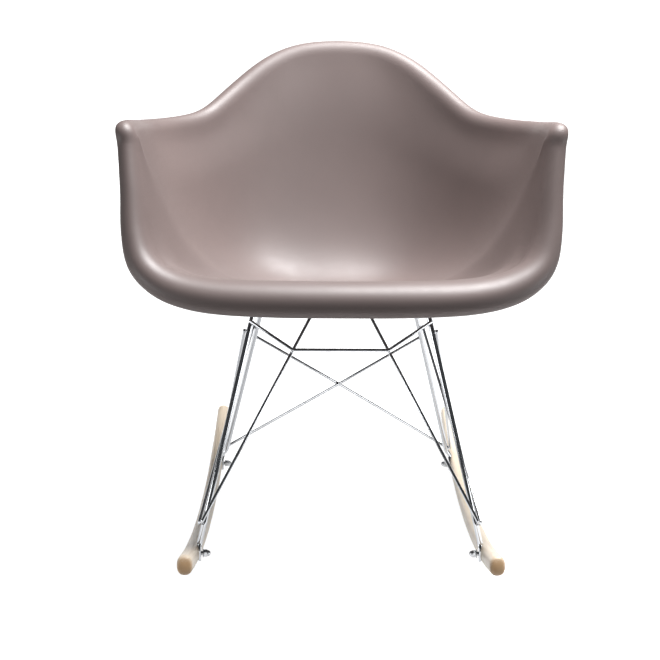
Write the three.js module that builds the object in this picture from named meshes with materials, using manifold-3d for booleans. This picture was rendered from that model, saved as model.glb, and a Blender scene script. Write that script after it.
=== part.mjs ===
// Rocking armchair: a moulded bucket shell on a welded wire cradle with two curved wooden rockers.
// Millimetres, +Z up, z = 0 on the floor. The chair faces -Y, and y = 0 is the middle of the rockers.
// +X is the sitter's left, so "left" nodes have a positive x.

import * as THREE from 'three';
import { mergeVertices } from 'three/addons/utils/BufferGeometryUtils.js';
import Module from 'manifold-3d';

const wasm = await Module();
wasm.setup();

// ---- Driving dimensions ----------------------------------------------------------------------

const CLEARANCE = 0.3; // between any two pieces that touch
const OVERSHOOT = 5; // how far a drill runs past the faces that it opens

// Seat shell
const SHELL_WIDTH = 630; // across the outsides of the arms
const SHELL_DEPTH = 583; // front lip to back
const SHELL_RISE = 393; // lowest point of the seat to the top of the back
const SHELL_FRONT_Y = -296; // front of the rolled front lip
const SEAT_HEIGHT = 366; // lowest point of the seat above the floor
const SHELL_WALL = 4.5;
const SEAT_SLOPE = 0.21; // fall of the seat per millimetre towards the back
const SEAT_REACH = 0.6; // share of the way from the seat's middle to the wall that stays flat
const BOSS_RADIUS = 15; // pads moulded under the seat, one above each mount
const BOSS_HEIGHT = 10;
const BOSS_SINK = 0.55; // share of the shell's wall that a pad's top reaches into

// Mounts between shell and cradle
const MOUNT_HALF_SPAN = 88; // mount centre from the chair's middle
const MOUNT_FRONT_Y = -150;
const MOUNT_REAR_Y = 35;
const BAR_SETBACK = 20; // from a mount's centre to the hoop bar beside it
const RUBBER_RADIUS = 15;
const RUBBER_HEIGHT = 10;
const PLATE_THICKNESS = 3;
const PLATE_WIDTH = 30;
const INSERT_RADIUS = 5;
const INSERT_LENGTH = 9;
const SCREW_RADIUS = 3;
const SCREW_HEAD_RADIUS = 5.5;
const SCREW_HEAD_HEIGHT = 3.3;
const SCREW_HEAD_ROUND = [1, 1.5]; // rounding of the head's rim, across and along
const SCREW_SHORT = 1; // how far a screw ends short of its insert's bottom

// Wire cradle
const ROD_RADIUS = 4; // hoops
const WIRE_RADIUS = 2.4; // brace and cradle wires
const HOOP_HALF_SPAN = 124; // corner of a hoop's top bar from the chair's middle
const HOOP_BEND = 18;
const TAB_THICKNESS = 4; // flattened foot of a hoop
const TAB_WIDTH = 16;
const TAB_SQUARENESS = 5; // superellipse exponent of a tab's section
const TAB_BELOW_BOLT = 11;
const TAB_ABOVE_BOLT = 15;
const TAB_END_ROUND = 3.5; // rounding of a tab's free end
const TAB_END_WIDTH = 0.55; // share of the tab's width that is left at its very end
const PRESS_LENGTH = 8; // from the tab's flat to the round rod
const FRONT_KINK_HEIGHT = 46; // bend in a front leg, above its bolt
const REAR_KINK_HEIGHT = 27;
const KINK_INSET = 7; // how far the kink stands inside the tab
const BRACE_DROP = 24; // weld of the brace below the front top bar
const BRACE_DIP = 39; // level middle of the brace below its welds
const BRACE_HALF_FLAT = 69; // corner of the brace from the chair's middle
const BRACE_BEND = 10;
const ARM_WELD_DROP = 38; // upper welds of the side wires below the top bars
const CROSS_WELD_DROP = 58; // upper welds of the rear cross below the rear top bar
const WELD_TIP = 3.5; // how far a wire runs past its weld
const HAIRPIN_BEND = 7; // bend of a cradle wire round a leg, at the leg's kink
// A bend cuts its corner, so the corners stand further out by these shares of the bend.
const HAIRPIN_CORNER = { side: 0.443, front: 0.271, frontDown: 1.629, rear: 0.257, rearDown: 1.286 };
const PASSING_BEND = 300; // wires bow a little where they pass each other

// Rockers
const ROCKER_LENGTH = 746;
const ROCKER_ARC = 1330; // radius of the centre line
const ROCKER_SPACING = 426; // between the centre lines
const ROCKER_WIDTH = 22;
const ROCKER_HEIGHT = 28;
const ROCKER_SQUARENESS = 2.4; // superellipse exponent of a rocker's section
const ROCKER_END_ROUND = 9;
const ROCKER_END_TAPER = 0.55; // how much of the section the rounded ends would lose in a quarter turn
const ROCKER_END_RINGS = [20, 45, 68]; // degrees round the ends at which rings stand
const REST_Y = -8; // where the chair balances, the middle of the flat under each rocker
const REST_FLAT = 60; // length of that flat
const FOOT_FRONT_Y = -266; // bolts through the rockers
const FOOT_REAR_Y = 178;

// Rocker bolts
const BOLT_RADIUS = 3;
const BOLT_HEAD_RADIUS = 5.5;
const BOLT_HEAD_HEIGHT = 3.5;
const BOLT_HEAD_RIM = 0.4; // share of the head's height that stands straight
const BOLT_HEAD_CROWN = 0.6; // share of the head's radius that its flat top takes
const BOLT_SHORT = 0.5; // how far a bolt ends short of the bottom of its nut's thread
const COUNTERBORE_DEPTH = 5.5;
const WASHER_RADIUS = 6.5;
const WASHER_THICKNESS = 1.2;
const NUT_ACROSS_FLATS = 10;
const NUT_HEX_HEIGHT = 5;
const NUT_DOME_HEIGHT = 4.8;
const NUT_DOME_INSET = 0.3; // the dome is this much narrower than the hexagon's flats
const NUT_DOME_ROOT = 1; // how far the dome reaches into the hexagon

// ---- Finishes ----------------------------------------------------------------------------------

const finish = (color, roughness, metalness) => ({ color, roughness, metalness });
const SHELL_PLASTIC = finish(0x8c7a78, 0.42, 0);
const CHROME = finish(0xc9cdd0, 0.12, 1);
const STEEL = finish(0xa7a9ac, 0.3, 1);
const MAPLE = finish(0xe3c49c, 0.5, 0);
const RUBBER = finish(0x1d1d1e, 0.8, 0);
const BRASS = finish(0xb98e4a, 0.35, 1);

const chair = new THREE.Group();

function addPart(name, geometry, look) {
  const mesh = new THREE.Mesh(geometry, new THREE.MeshStandardMaterial(look));
  mesh.name = name;
  chair.add(mesh);
  return mesh;
}

// ---- Solids ------------------------------------------------------------------------------------

function toSolid(geometry) {
  const bare = geometry.clone();
  bare.deleteAttribute('normal');
  bare.deleteAttribute('uv');
  const merged = mergeVertices(bare, 1e-4);
  return new wasm.Manifold(new wasm.Mesh({
    numProp: 3,
    vertProperties: new Float32Array(merged.attributes.position.array),
    triVerts: new Uint32Array(merged.index.array),
  }));
}

function fromSolid(solid) {
  const mesh = solid.getMesh();
  const geometry = new THREE.BufferGeometry();
  geometry.setAttribute('position', new THREE.BufferAttribute(mesh.vertProperties, 3));
  geometry.setIndex(new THREE.BufferAttribute(mesh.triVerts, 1));
  return geometry;
}

function cut(geometry, tools) {
  const solid = tools.reduce((left, tool) => left.subtract(toSolid(tool)), toSolid(geometry));
  return fromSolid(solid);
}

function join(geometry, pieces) {
  const solid = pieces.reduce((left, piece) => left.add(toSolid(piece)), toSolid(geometry));
  return fromSolid(solid);
}

// Turns a profile of [radius, height] pairs about +Z. It starts and ends on the axis or closes.
function turned(profile, sides = 20) {
  const points = profile.map(([radius, height]) => new THREE.Vector2(radius, height));
  return new THREE.LatheGeometry(points, sides).rotateX(Math.PI / 2);
}

function rod(radius, bottom, top, sides = 20) {
  return turned([[0, bottom], [radius, bottom], [radius, top], [0, top]], sides);
}

function ring(radius, hole, bottom, top, sides = 24) {
  return turned([[hole, bottom], [radius, bottom], [radius, top], [hole, top], [hole, bottom]], sides);
}

// Skins rows of points into one closed body: each row is a ring, and both ends are capped.
function skin(rings) {
  const count = rings[0].length;
  const vertices = rings.flat();
  const faces = [];
  for (let row = 0; row + 1 < rings.length; row += 1) {
    for (let i = 0; i < count; i += 1) {
      const a = row * count + i;
      const b = row * count + ((i + 1) % count);
      faces.push(a, b, b + count, a, b + count, a + count);
    }
  }
  const middle = (list) => list.reduce((sum, p) => sum.add(p), new THREE.Vector3()).divideScalar(count);
  vertices.push(middle(rings[0]), middle(rings.at(-1)));
  const last = (rings.length - 1) * count;
  for (let i = 0; i < count; i += 1) {
    const next = (i + 1) % count;
    faces.push(vertices.length - 2, next, i);
    faces.push(vertices.length - 1, last + i, last + next);
  }
  return new THREE.BufferGeometry().setFromPoints(vertices).setIndex(faces);
}

// Superellipse whose flats lie at exactly the two half sizes: exponent 2 is round, 5 nearly square.
function sectionPoints(halfA, halfB, exponent, sides) {
  const power = 2 / exponent;
  const flat = Math.cos(Math.PI / sides) ** power;
  const bent = (value) => (Math.sign(value) * Math.abs(value) ** power) / flat;
  return Array.from({ length: sides }, (_, i) => {
    const angle = ((i + 0.5) * 2 * Math.PI) / sides;
    return [halfA * bent(Math.cos(angle)), halfB * bent(Math.sin(angle))];
  });
}

// Sweeps a changing section along stations of { point, tangent, halfA, halfB, exponent }.
// halfA lies along the side vector, made square to the path, and halfB across both.
function sweep(stations, side, sides) {
  return skin(stations.map(({ point, tangent, halfA, halfB, exponent }) => {
    const across = side.clone().addScaledVector(tangent, -side.dot(tangent)).normalize();
    const up = new THREE.Vector3().crossVectors(tangent, across);
    return sectionPoints(halfA, halfB, exponent, sides).map(([a, b]) => (
      point.clone().addScaledVector(across, a).addScaledVector(up, b)
    ));
  }));
}

// ---- Bent rods and wires -------------------------------------------------------------------------

// Walks a list of corners and rounds each inner one, giving stations of { point, tangent }.
function bentPath(corners, bends, steps = 6) {
  const heading = (a, b) => b.clone().sub(a).normalize();
  const stations = [{ point: corners[0], tangent: heading(corners[0], corners[1]) }];
  for (let i = 1; i + 1 < corners.length; i += 1) {
    const before = heading(corners[i - 1], corners[i]);
    const after = heading(corners[i], corners[i + 1]);
    const turn = before.angleTo(after);
    const radius = Array.isArray(bends) ? bends[i - 1] : bends;
    const start = corners[i].clone().addScaledVector(before, -radius * Math.tan(turn / 2));
    const inward = after.clone().addScaledVector(before, -after.dot(before)).normalize();
    for (let step = 0; step <= steps; step += 1) {
      const angle = (turn * step) / steps;
      const point = start.clone()
        .addScaledVector(before, radius * Math.sin(angle))
        .addScaledVector(inward, radius * (1 - Math.cos(angle)));
      const tangent = before.clone().multiplyScalar(Math.cos(angle))
        .addScaledVector(inward, Math.sin(angle));
      stations.push({ point, tangent });
    }
  }
  const end = corners.at(-1);
  stations.push({ point: end, tangent: heading(corners.at(-2), end) });
  return stations;
}

class StationCurve extends THREE.Curve {
  constructor(stations) {
    super();
    this.stations = stations;
  }

  nearest(u) {
    return this.stations[Math.round(u * (this.stations.length - 1))];
  }

  getPointAt(u) {
    return this.nearest(u).point.clone();
  }

  getTangentAt(u) {
    return this.nearest(u).tangent.clone();
  }
}

function wire(corners, bend, steps) {
  const stations = bentPath(corners, bend, steps);
  const section = new THREE.Shape().absarc(0, 0, WIRE_RADIUS, 0, 2 * Math.PI);
  return new THREE.ExtrudeGeometry(section, {
    extrudePath: new StationCurve(stations),
    steps: stations.length - 1,
    curveSegments: 4,
  });
}

const mirrored = (point) => new THREE.Vector3(-point.x, point.y, point.z);
const sided = (point, side) => new THREE.Vector3(side * point.x, point.y, point.z);

// ---- Seat shell ------------------------------------------------------------------------------------

// Stations run from the middle of the front lip along one arm to the middle of the back.
// wallTop: where the wall ends and the rolled lip starts, knee: the corner between seat and wall,
// both as fractions of half the width, the depth and the rise. lip: its radius, its turn in
// degrees, and how far down from the wall's top the wall stays straight.
const SHELL_STATIONS = [
  { wallTop: [0.000, 0.052, 0.182], knee: [0.000, 0.290, 0.115], lip: [28, 143, 0.45] },
  { wallTop: [0.320, 0.052, 0.184], knee: [0.235, 0.290, 0.115], lip: [28, 143, 0.45] },
  { wallTop: [0.580, 0.060, 0.190], knee: [0.435, 0.290, 0.108], lip: [27, 143, 0.45] },
  { wallTop: [0.728, 0.079, 0.212], knee: [0.580, 0.290, 0.090], lip: [26, 143, 0.43] },
  { wallTop: [0.818, 0.098, 0.252], knee: [0.655, 0.298, 0.065], lip: [23, 143, 0.42] },
  { wallTop: [0.869, 0.120, 0.330], knee: [0.688, 0.318, 0.048], lip: [18, 143, 0.44] },
  { wallTop: [0.900, 0.163, 0.482], knee: [0.702, 0.350, 0.036], lip: [14.5, 143, 0.45] },
  { wallTop: [0.923, 0.203, 0.630], knee: [0.710, 0.380, 0.031], lip: [13.5, 141, 0.45] },
  { wallTop: [0.929, 0.213, 0.683], knee: [0.712, 0.400, 0.028], lip: [14, 130, 0.45] },
  { wallTop: [0.930, 0.255, 0.693], knee: [0.713, 0.425, 0.024], lip: [13.5, 140, 0.45] },
  { wallTop: [0.925, 0.336, 0.688], knee: [0.713, 0.470, 0.020], lip: [13, 140, 0.45] },
  { wallTop: [0.905, 0.500, 0.674], knee: [0.700, 0.560, 0.012], lip: [13, 140, 0.45] },
  { wallTop: [0.812, 0.650, 0.670], knee: [0.630, 0.665, 0.005], lip: [12.5, 140, 0.45] },
  { wallTop: [0.668, 0.766, 0.692], knee: [0.515, 0.735, -0.010], lip: [13.2, 135, 0.42] },
  { wallTop: [0.521, 0.854, 0.794], knee: [0.390, 0.765, -0.022], lip: [14, 130, 0.40] },
  { wallTop: [0.364, 0.920, 0.900], knee: [0.265, 0.780, -0.030], lip: [14, 126, 0.38] },
  { wallTop: [0.204, 0.959, 0.959], knee: [0.132, 0.785, -0.034], lip: [14, 125, 0.36] },
  { wallTop: [0.000, 0.969, 0.974], knee: [0.000, 0.785, -0.035], lip: [14, 125, 0.36] },
];
const SEAT_MIDDLE = [0, 0.54, 0.012]; // where all lines over the shell start
const SHELL_AROUND = 68;
const SHELL_ROWS = 12;
const LIP_ROWS = 7;

// The lip curls in gently and tightens towards its rim. Its profile is in multiples of its radius:
// it starts LIP_LEAD below the wall's top, rises to one radius above it, and runs LIP_RUN along.
const LIP_TIGHTENING = 1.8;
const LIP_LEAD = 0.89;
const LIP_RUN = 3.22;

function lipProfile(degrees) {
  const points = [[-LIP_LEAD, 0]];
  const slices = 12;
  for (let slice = 0; slice < LIP_ROWS * slices; slice += 1) {
    const share = (slice + 0.5) / (LIP_ROWS * slices);
    const angle = THREE.MathUtils.degToRad(degrees) * share ** LIP_TIGHTENING;
    const step = LIP_RUN / (LIP_ROWS * slices);
    const [up, out] = points.at(-1);
    points.push([up + step * Math.cos(angle), out + step * Math.sin(angle)]);
  }
  return points.filter((_, i) => i % slices === 0);
}

const shellPlace = ([across, along, up]) => new THREE.Vector3(
  (across * SHELL_WIDTH) / 2,
  SHELL_FRONT_Y + along * SHELL_DEPTH,
  SEAT_HEIGHT + up * SHELL_RISE,
);

// A closed curve through the stations of one side and, in reverse, of the other.
function stationLoop(place, flip) {
  const oneSide = SHELL_STATIONS.map(place);
  const otherSide = oneSide.slice(1, -1).reverse().map(flip);
  return new THREE.CatmullRomCurve3([...oneSide, ...otherSide], true, 'centripetal');
}

const wallTopLoop = stationLoop(({ wallTop }) => shellPlace(wallTop), mirrored);
const kneeLoop = stationLoop(({ knee }) => shellPlace(knee), mirrored);
const lipLoop = stationLoop(({ lip }) => new THREE.Vector3(...lip), (lip) => lip.clone());
const seatMiddle = shellPlace(SEAT_MIDDLE);

function bezier(controls, t) {
  let points = controls;
  while (points.length > 1) {
    points = points.slice(1).map((point, i) => points[i].clone().lerp(point, t));
  }
  return points[0];
}

// One line over the upper surface, from the middle of the seat up the wall and round the lip.
function shellLine(turn) {
  const around = ((turn % 1) + 1) % 1;
  const top = wallTopLoop.getPoint(around);
  const knee = kneeLoop.getPoint(around);
  const [radius, degrees, straight] = lipLoop.getPoint(around).toArray();
  const onSeat = seatMiddle.clone().lerp(knee, SEAT_REACH);
  onSeat.z = seatMiddle.z - SEAT_SLOPE * (onSeat.y - seatMiddle.y);
  const onWall = top.clone().lerp(knee, straight);
  const edge = wallTopLoop.getTangent(around);
  const rise = top.clone().sub(onWall);
  rise.addScaledVector(edge, -rise.dot(edge)).normalize();
  const outward = new THREE.Vector3().crossVectors(edge, rise);
  const lip = lipProfile(degrees).map(([up, out]) => (
    top.clone().addScaledVector(rise, radius * up).addScaledVector(outward, radius * out)
  ));
  const line = [];
  for (let row = 0; row < SHELL_ROWS; row += 1) {
    line.push(bezier([seatMiddle, onSeat, knee, onWall, lip[0]], row / SHELL_ROWS));
  }
  return [...line, ...lip];
}

// Upper surface, lower surface one wall away from it, and the cut edge between them.
function shellGeometry() {
  const lines = Array.from({ length: SHELL_AROUND }, (_, i) => shellLine(i / SHELL_AROUND));
  const rows = SHELL_ROWS + LIP_ROWS;
  const at = (i, row) => lines[(i + SHELL_AROUND) % SHELL_AROUND][row];
  const below = (i, row) => {
    const along = at(i, Math.min(row + 1, rows)).clone().sub(at(i, row - 1));
    const across = at(i + 1, row).clone().sub(at(i - 1, row));
    return at(i, row).clone().addScaledVector(across.cross(along).normalize(), SHELL_WALL);
  };
  const down = new THREE.Vector3(0, -SEAT_SLOPE, -1).normalize();
  const vertices = [at(0, 0), at(0, 0).clone().addScaledVector(down, SHELL_WALL)];
  for (let row = 1; row <= rows; row += 1) {
    for (let i = 0; i < SHELL_AROUND; i += 1) {
      vertices.push(at(i, row), below(i, row));
    }
  }
  const upper = (i, row) => (row === 0 ? 0 : 2 + 2 * ((row - 1) * SHELL_AROUND + (i % SHELL_AROUND)));
  const faces = [];
  for (let i = 0; i < SHELL_AROUND; i += 1) {
    for (let row = 0; row < rows; row += 1) {
      const [a, b] = [upper(i, row), upper(i + 1, row)];
      const [c, d] = [upper(i, row + 1), upper(i + 1, row + 1)];
      faces.push(a, c, d, a + 1, d + 1, c + 1);
      if (row > 0) {
        faces.push(a, d, b, a + 1, b + 1, d + 1);
      }
    }
    const [c, d] = [upper(i, rows), upper(i + 1, rows)];
    faces.push(c, c + 1, d + 1, c, d + 1, d);
  }
  return new THREE.BufferGeometry().setFromPoints(vertices).setIndex(faces);
}

const bareShell = shellGeometry();
const shellProbe = new THREE.Mesh(bareShell, new THREE.MeshBasicMaterial({ side: THREE.DoubleSide }));

function underside(x, y) {
  const caster = new THREE.Raycaster(new THREE.Vector3(x, y, 0), new THREE.Vector3(0, 0, 1));
  return caster.intersectObject(shellProbe)[0].point;
}

// The four mounts share one plane, tilted like the seat: mountUp is square to it, and mountBack
// lies in it. Mount pieces are made about +Z with z = 0 on the pads' faces, then turned into it.
const frontPad = underside(MOUNT_HALF_SPAN, MOUNT_FRONT_Y);
const rearPad = underside(MOUNT_HALF_SPAN, MOUNT_REAR_Y);
const mountBack = rearPad.clone().sub(frontPad).setX(0).normalize();
const mountUp = new THREE.Vector3(1, 0, 0).cross(mountBack);
const mountTurn = new THREE.Matrix4().makeBasis(new THREE.Vector3(1, 0, 0), mountBack, mountUp);
const mountPlaces = [
  { name: 'front_left', centre: frontPad, side: 1, towardsBar: -1 },
  { name: 'front_right', centre: frontPad, side: -1, towardsBar: -1 },
  { name: 'rear_left', centre: rearPad, side: 1, towardsBar: 1 },
  { name: 'rear_right', centre: rearPad, side: -1, towardsBar: 1 },
].map((mount) => ({
  ...mount,
  centre: sided(mount.centre.clone().addScaledVector(mountUp, -BOSS_HEIGHT), mount.side),
}));

function atMount(mount, geometry) {
  return geometry.applyMatrix4(mountTurn.clone().setPosition(mount.centre));
}

const insertBore = INSERT_RADIUS + CLEARANCE;
const rubberTop = -CLEARANCE;
const plateTop = rubberTop - RUBBER_HEIGHT - CLEARANCE;
const plateBottom = plateTop - PLATE_THICKNESS;
const barBelowPad = -plateBottom + CLEARANCE + ROD_RADIUS;

const bossTop = BOSS_HEIGHT + BOSS_SINK * SHELL_WALL;
const bosses = mountPlaces.map((mount) => atMount(mount, rod(BOSS_RADIUS, 0, bossTop, 24)));
const bores = mountPlaces.map((mount) => (
  atMount(mount, rod(insertBore, -OVERSHOOT, INSERT_LENGTH + CLEARANCE, 16))
));
addPart('seat_shell', cut(join(bareShell, bosses), bores), SHELL_PLASTIC);

// ---- Mounts ----------------------------------------------------------------------------------------

const screwHole = SCREW_RADIUS + CLEARANCE;

for (const mount of mountPlaces) {
  const insert = ring(INSERT_RADIUS, screwHole, 0, INSERT_LENGTH, 16);
  addPart(`threaded_insert_${mount.name}`, atMount(mount, insert), BRASS);

  const pad = ring(RUBBER_RADIUS, screwHole, rubberTop - RUBBER_HEIGHT, rubberTop);
  addPart(`rubber_mount_${mount.name}`, atMount(mount, pad), RUBBER);

  const reach = BAR_SETBACK + ROD_RADIUS; // from the screw to past the bar
  const plate = new THREE.Shape()
    .moveTo(PLATE_WIDTH / 2, 0)
    .lineTo(PLATE_WIDTH / 2, reach)
    .lineTo(-PLATE_WIDTH / 2, reach)
    .lineTo(-PLATE_WIDTH / 2, 0)
    .absarc(0, 0, PLATE_WIDTH / 2, Math.PI, 2 * Math.PI);
  plate.holes.push(new THREE.Path().absarc(0, 0, screwHole, 0, 2 * Math.PI));
  const plateSolid = new THREE.ExtrudeGeometry(plate, {
    depth: PLATE_THICKNESS,
    bevelEnabled: false,
    curveSegments: 8,
  });
  plateSolid.rotateZ(mount.towardsBar > 0 ? 0 : Math.PI).translate(0, 0, plateBottom);
  addPart(`mount_plate_${mount.name}`, atMount(mount, plateSolid), STEEL);

  const headTop = plateBottom - CLEARANCE;
  const headBottom = headTop - SCREW_HEAD_HEIGHT;
  const [rimAcross, rimAlong] = SCREW_HEAD_ROUND;
  const screw = turned([
    [0, headBottom],
    [SCREW_HEAD_RADIUS - rimAcross, headBottom],
    [SCREW_HEAD_RADIUS, headBottom + rimAlong],
    [SCREW_HEAD_RADIUS, headTop],
    [SCREW_RADIUS, headTop],
    [SCREW_RADIUS, INSERT_LENGTH - SCREW_SHORT],
    [0, INSERT_LENGTH - SCREW_SHORT],
  ], 16);
  addPart(`mount_screw_${mount.name}`, atMount(mount, screw), STEEL);
}

// ---- Rockers ---------------------------------------------------------------------------------------

// The centre line is an arc, lowest at REST_Y. Its two middle stations stand half a flat apart,
// which leaves a level flat between them, and that flat lies on the floor.
const flatHalfAngle = Math.asin(REST_FLAT / 2 / ROCKER_ARC);
const arcCentreZ = (ROCKER_ARC + ROCKER_HEIGHT / 2) * Math.cos(flatHalfAngle);

function rockerStation(y) {
  const angle = Math.asin((y - REST_Y) / ROCKER_ARC);
  return {
    point: new THREE.Vector3(0, y, arcCentreZ - ROCKER_ARC * Math.cos(angle)),
    tangent: new THREE.Vector3(0, Math.cos(angle), Math.sin(angle)),
  };
}

const roundFrom = ROCKER_LENGTH / 2 - ROCKER_END_ROUND;

function rockerStops(count = 8) {
  const stops = [];
  for (const [from, to] of [[-roundFrom, REST_Y - REST_FLAT / 2], [REST_Y + REST_FLAT / 2, roundFrom]]) {
    for (let i = 0; i <= count; i += 1) {
      stops.push(THREE.MathUtils.lerp(from, to, i / count));
    }
  }
  return stops;
}

// The ends are rounded over: each ring of the dome is smaller and further out.
function rockerGeometry() {
  const full = rockerStops().map((y) => ({ y, scale: 1 }));
  const dome = ROCKER_END_RINGS.map((degrees) => {
    const angle = THREE.MathUtils.degToRad(degrees);
    const scale = 1 - ROCKER_END_TAPER * (1 - Math.cos(angle));
    return { out: ROCKER_END_ROUND * Math.sin(angle), scale };
  });
  const front = dome.map(({ out, scale }) => ({ y: -roundFrom - out, scale })).reverse();
  const back = dome.map(({ out, scale }) => ({ y: roundFrom + out, scale }));
  const stations = [...front, ...full, ...back].map(({ y, scale }) => ({
    ...rockerStation(y),
    halfA: (scale * ROCKER_WIDTH) / 2,
    halfB: (scale * ROCKER_HEIGHT) / 2,
    exponent: ROCKER_SQUARENESS,
  }));
  return sweep(stations, new THREE.Vector3(1, 0, 0), 16);
}

const rockerX = ROCKER_SPACING / 2;
const innerFace = rockerX - ROCKER_WIDTH / 2;
const outerFace = rockerX + ROCKER_WIDTH / 2;
const tabX = innerFace - CLEARANCE - TAB_THICKNESS / 2;
const boltBore = BOLT_RADIUS + CLEARANCE;
const feet = [
  { name: 'front', ...rockerStation(FOOT_FRONT_Y) },
  { name: 'rear', ...rockerStation(FOOT_REAR_Y) },
];

// Turns a piece made about +Z so that its axis points outwards through a rocker on one side.
function atFoot(foot, side, geometry) {
  return geometry.rotateY((side * Math.PI) / 2).translate(0, foot.point.y, foot.point.z);
}

const seatOfHead = outerFace - COUNTERBORE_DEPTH;

for (const [sideName, side] of [['left', 1], ['right', -1]]) {
  const holes = feet.flatMap((foot) => [
    atFoot(foot, side, rod(boltBore, innerFace - OVERSHOOT, outerFace + OVERSHOOT, 16)),
    atFoot(foot, side, rod(WASHER_RADIUS + CLEARANCE, seatOfHead, outerFace + OVERSHOOT, 20)),
  ]);
  const blank = rockerGeometry().translate(side * rockerX, 0, 0);
  addPart(`rocker_${sideName}`, cut(blank, holes), MAPLE);
}

// ---- Rocker fasteners --------------------------------------------------------------------------------

const tabInner = tabX - TAB_THICKNESS / 2;
const nutFace = tabInner - 2 * CLEARANCE - WASHER_THICKNESS;
const nutHexEnd = nutFace - NUT_HEX_HEIGHT;
const boltEnd = nutHexEnd + BOLT_SHORT;
const headFace = seatOfHead + 2 * CLEARANCE + WASHER_THICKNESS;

function domeNut() {
  const hex = new THREE.CylinderGeometry(1, 1, NUT_HEX_HEIGHT, 6).rotateX(Math.PI / 2);
  const acrossCorners = NUT_ACROSS_FLATS / Math.sqrt(3);
  hex.scale(acrossCorners, acrossCorners, 1).translate(0, 0, nutFace - NUT_HEX_HEIGHT / 2);
  const domeRadius = NUT_ACROSS_FLATS / 2 - NUT_DOME_INSET;
  const profile = [[0, nutHexEnd - NUT_DOME_HEIGHT]];
  for (const degrees of [30, 60, 90]) {
    const angle = THREE.MathUtils.degToRad(degrees);
    profile.push([domeRadius * Math.sin(angle), nutHexEnd - NUT_DOME_HEIGHT * Math.cos(angle)]);
  }
  profile.push([domeRadius, nutHexEnd + NUT_DOME_ROOT], [0, nutHexEnd + NUT_DOME_ROOT]);
  const bore = rod(boltBore, nutHexEnd, nutFace + OVERSHOOT, 16);
  return cut(join(hex, [turned(profile, 16)]), [bore]);
}

for (const [sideName, side] of [['left', 1], ['right', -1]]) {
  for (const foot of feet) {
    const place = `${foot.name}_${sideName}`;
    const bolt = turned([
      [0, boltEnd],
      [BOLT_RADIUS, boltEnd],
      [BOLT_RADIUS, headFace],
      [BOLT_HEAD_RADIUS, headFace],
      [BOLT_HEAD_RADIUS, headFace + BOLT_HEAD_RIM * BOLT_HEAD_HEIGHT],
      [BOLT_HEAD_CROWN * BOLT_HEAD_RADIUS, headFace + BOLT_HEAD_HEIGHT],
      [0, headFace + BOLT_HEAD_HEIGHT],
    ], 16);
    addPart(`rocker_bolt_${place}`, atFoot(foot, side, bolt), STEEL);

    const headWasherTop = headFace - CLEARANCE;
    const headWasher = ring(WASHER_RADIUS, boltBore, headWasherTop - WASHER_THICKNESS, headWasherTop);
    addPart(`head_washer_${place}`, atFoot(foot, side, headWasher), STEEL);

    const nutWasherFace = nutFace + CLEARANCE;
    const nutWasher = ring(WASHER_RADIUS, boltBore, nutWasherFace, nutWasherFace + WASHER_THICKNESS);
    addPart(`nut_washer_${place}`, atFoot(foot, side, nutWasher), STEEL);
    addPart(`dome_nut_${place}`, atFoot(foot, side, domeNut()), STEEL);
  }
}

// ---- Hoops -----------------------------------------------------------------------------------------

// Each hoop is one rod: a flattened tab on each rocker, a kink above it, a leg that leans in to
// the corner of the top bar, and the bar across under the seat.
function hoopFrame(foot, mount, kinkHeight) {
  const bar = mount.centre.clone()
    .addScaledVector(mountUp, -barBelowPad)
    .addScaledVector(mountBack, mount.towardsBar * BAR_SETBACK);
  return {
    foot,
    tabTop: new THREE.Vector3(tabX, foot.point.y, foot.point.z + TAB_ABOVE_BOLT),
    tabEnd: new THREE.Vector3(tabX, foot.point.y, foot.point.z - TAB_BELOW_BOLT),
    kink: new THREE.Vector3(tabX - KINK_INSET, foot.point.y, foot.point.z + kinkHeight),
    corner: bar.setX(HOOP_HALF_SPAN),
  };
}

const frontFrame = hoopFrame(feet[0], mountPlaces[0], FRONT_KINK_HEIGHT);
const rearFrame = hoopFrame(feet[1], mountPlaces[2], REAR_KINK_HEIGHT);

function hoopGeometry(frame) {
  const { tabEnd, tabTop, kink, corner, foot } = frame;
  const corners = [tabTop, kink, corner, mirrored(corner), mirrored(kink), mirrored(tabTop)];
  const round = { halfA: ROD_RADIUS, halfB: ROD_RADIUS, exponent: 2 };
  const flat = { halfA: TAB_WIDTH / 2, halfB: TAB_THICKNESS / 2, exponent: TAB_SQUARENESS };
  const stations = bentPath(corners, HOOP_BEND, 5).map((station) => ({ ...station, ...round }));
  const flatten = (end, up) => [
    { point: end, tangent: up, ...flat, halfA: TAB_END_WIDTH * flat.halfA },
    { point: end.clone().setZ(end.z + TAB_END_ROUND), tangent: up, ...flat },
    { point: end.clone().setZ(tabTop.z - PRESS_LENGTH), tangent: up, ...flat },
  ];
  const rising = new THREE.Vector3(0, 0, 1);
  const falling = new THREE.Vector3(0, 0, -1);
  const all = [
    ...flatten(tabEnd, rising),
    ...stations,
    ...flatten(mirrored(tabEnd), falling).reverse(),
  ];
  const drill = [tabX - TAB_THICKNESS / 2 - OVERSHOOT, tabX + TAB_THICKNESS / 2 + OVERSHOOT];
  const holes = [1, -1].map((side) => atFoot(foot, side, rod(boltBore, ...drill, 16)));
  return cut(sweep(all, new THREE.Vector3(0, 1, 0), 12), holes);
}

addPart('front_hoop', hoopGeometry(frontFrame), CHROME);
addPart('rear_hoop', hoopGeometry(rearFrame), CHROME);

// Centre of the left leg of a hoop at a height below its top bar.
function legPoint(frame, drop) {
  const share = drop / (frame.corner.z - frame.kink.z);
  return frame.corner.clone().lerp(frame.kink, share);
}

// ---- Cradle wires ------------------------------------------------------------------------------------

const touch = ROD_RADIUS + WIRE_RADIUS + CLEARANCE; // centre distance of a wire welded to a hoop
const cross = 2 * WIRE_RADIUS + CLEARANCE; // centre distance of two wires welded together
const across = new THREE.Vector3(1, 0, 0);

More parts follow.
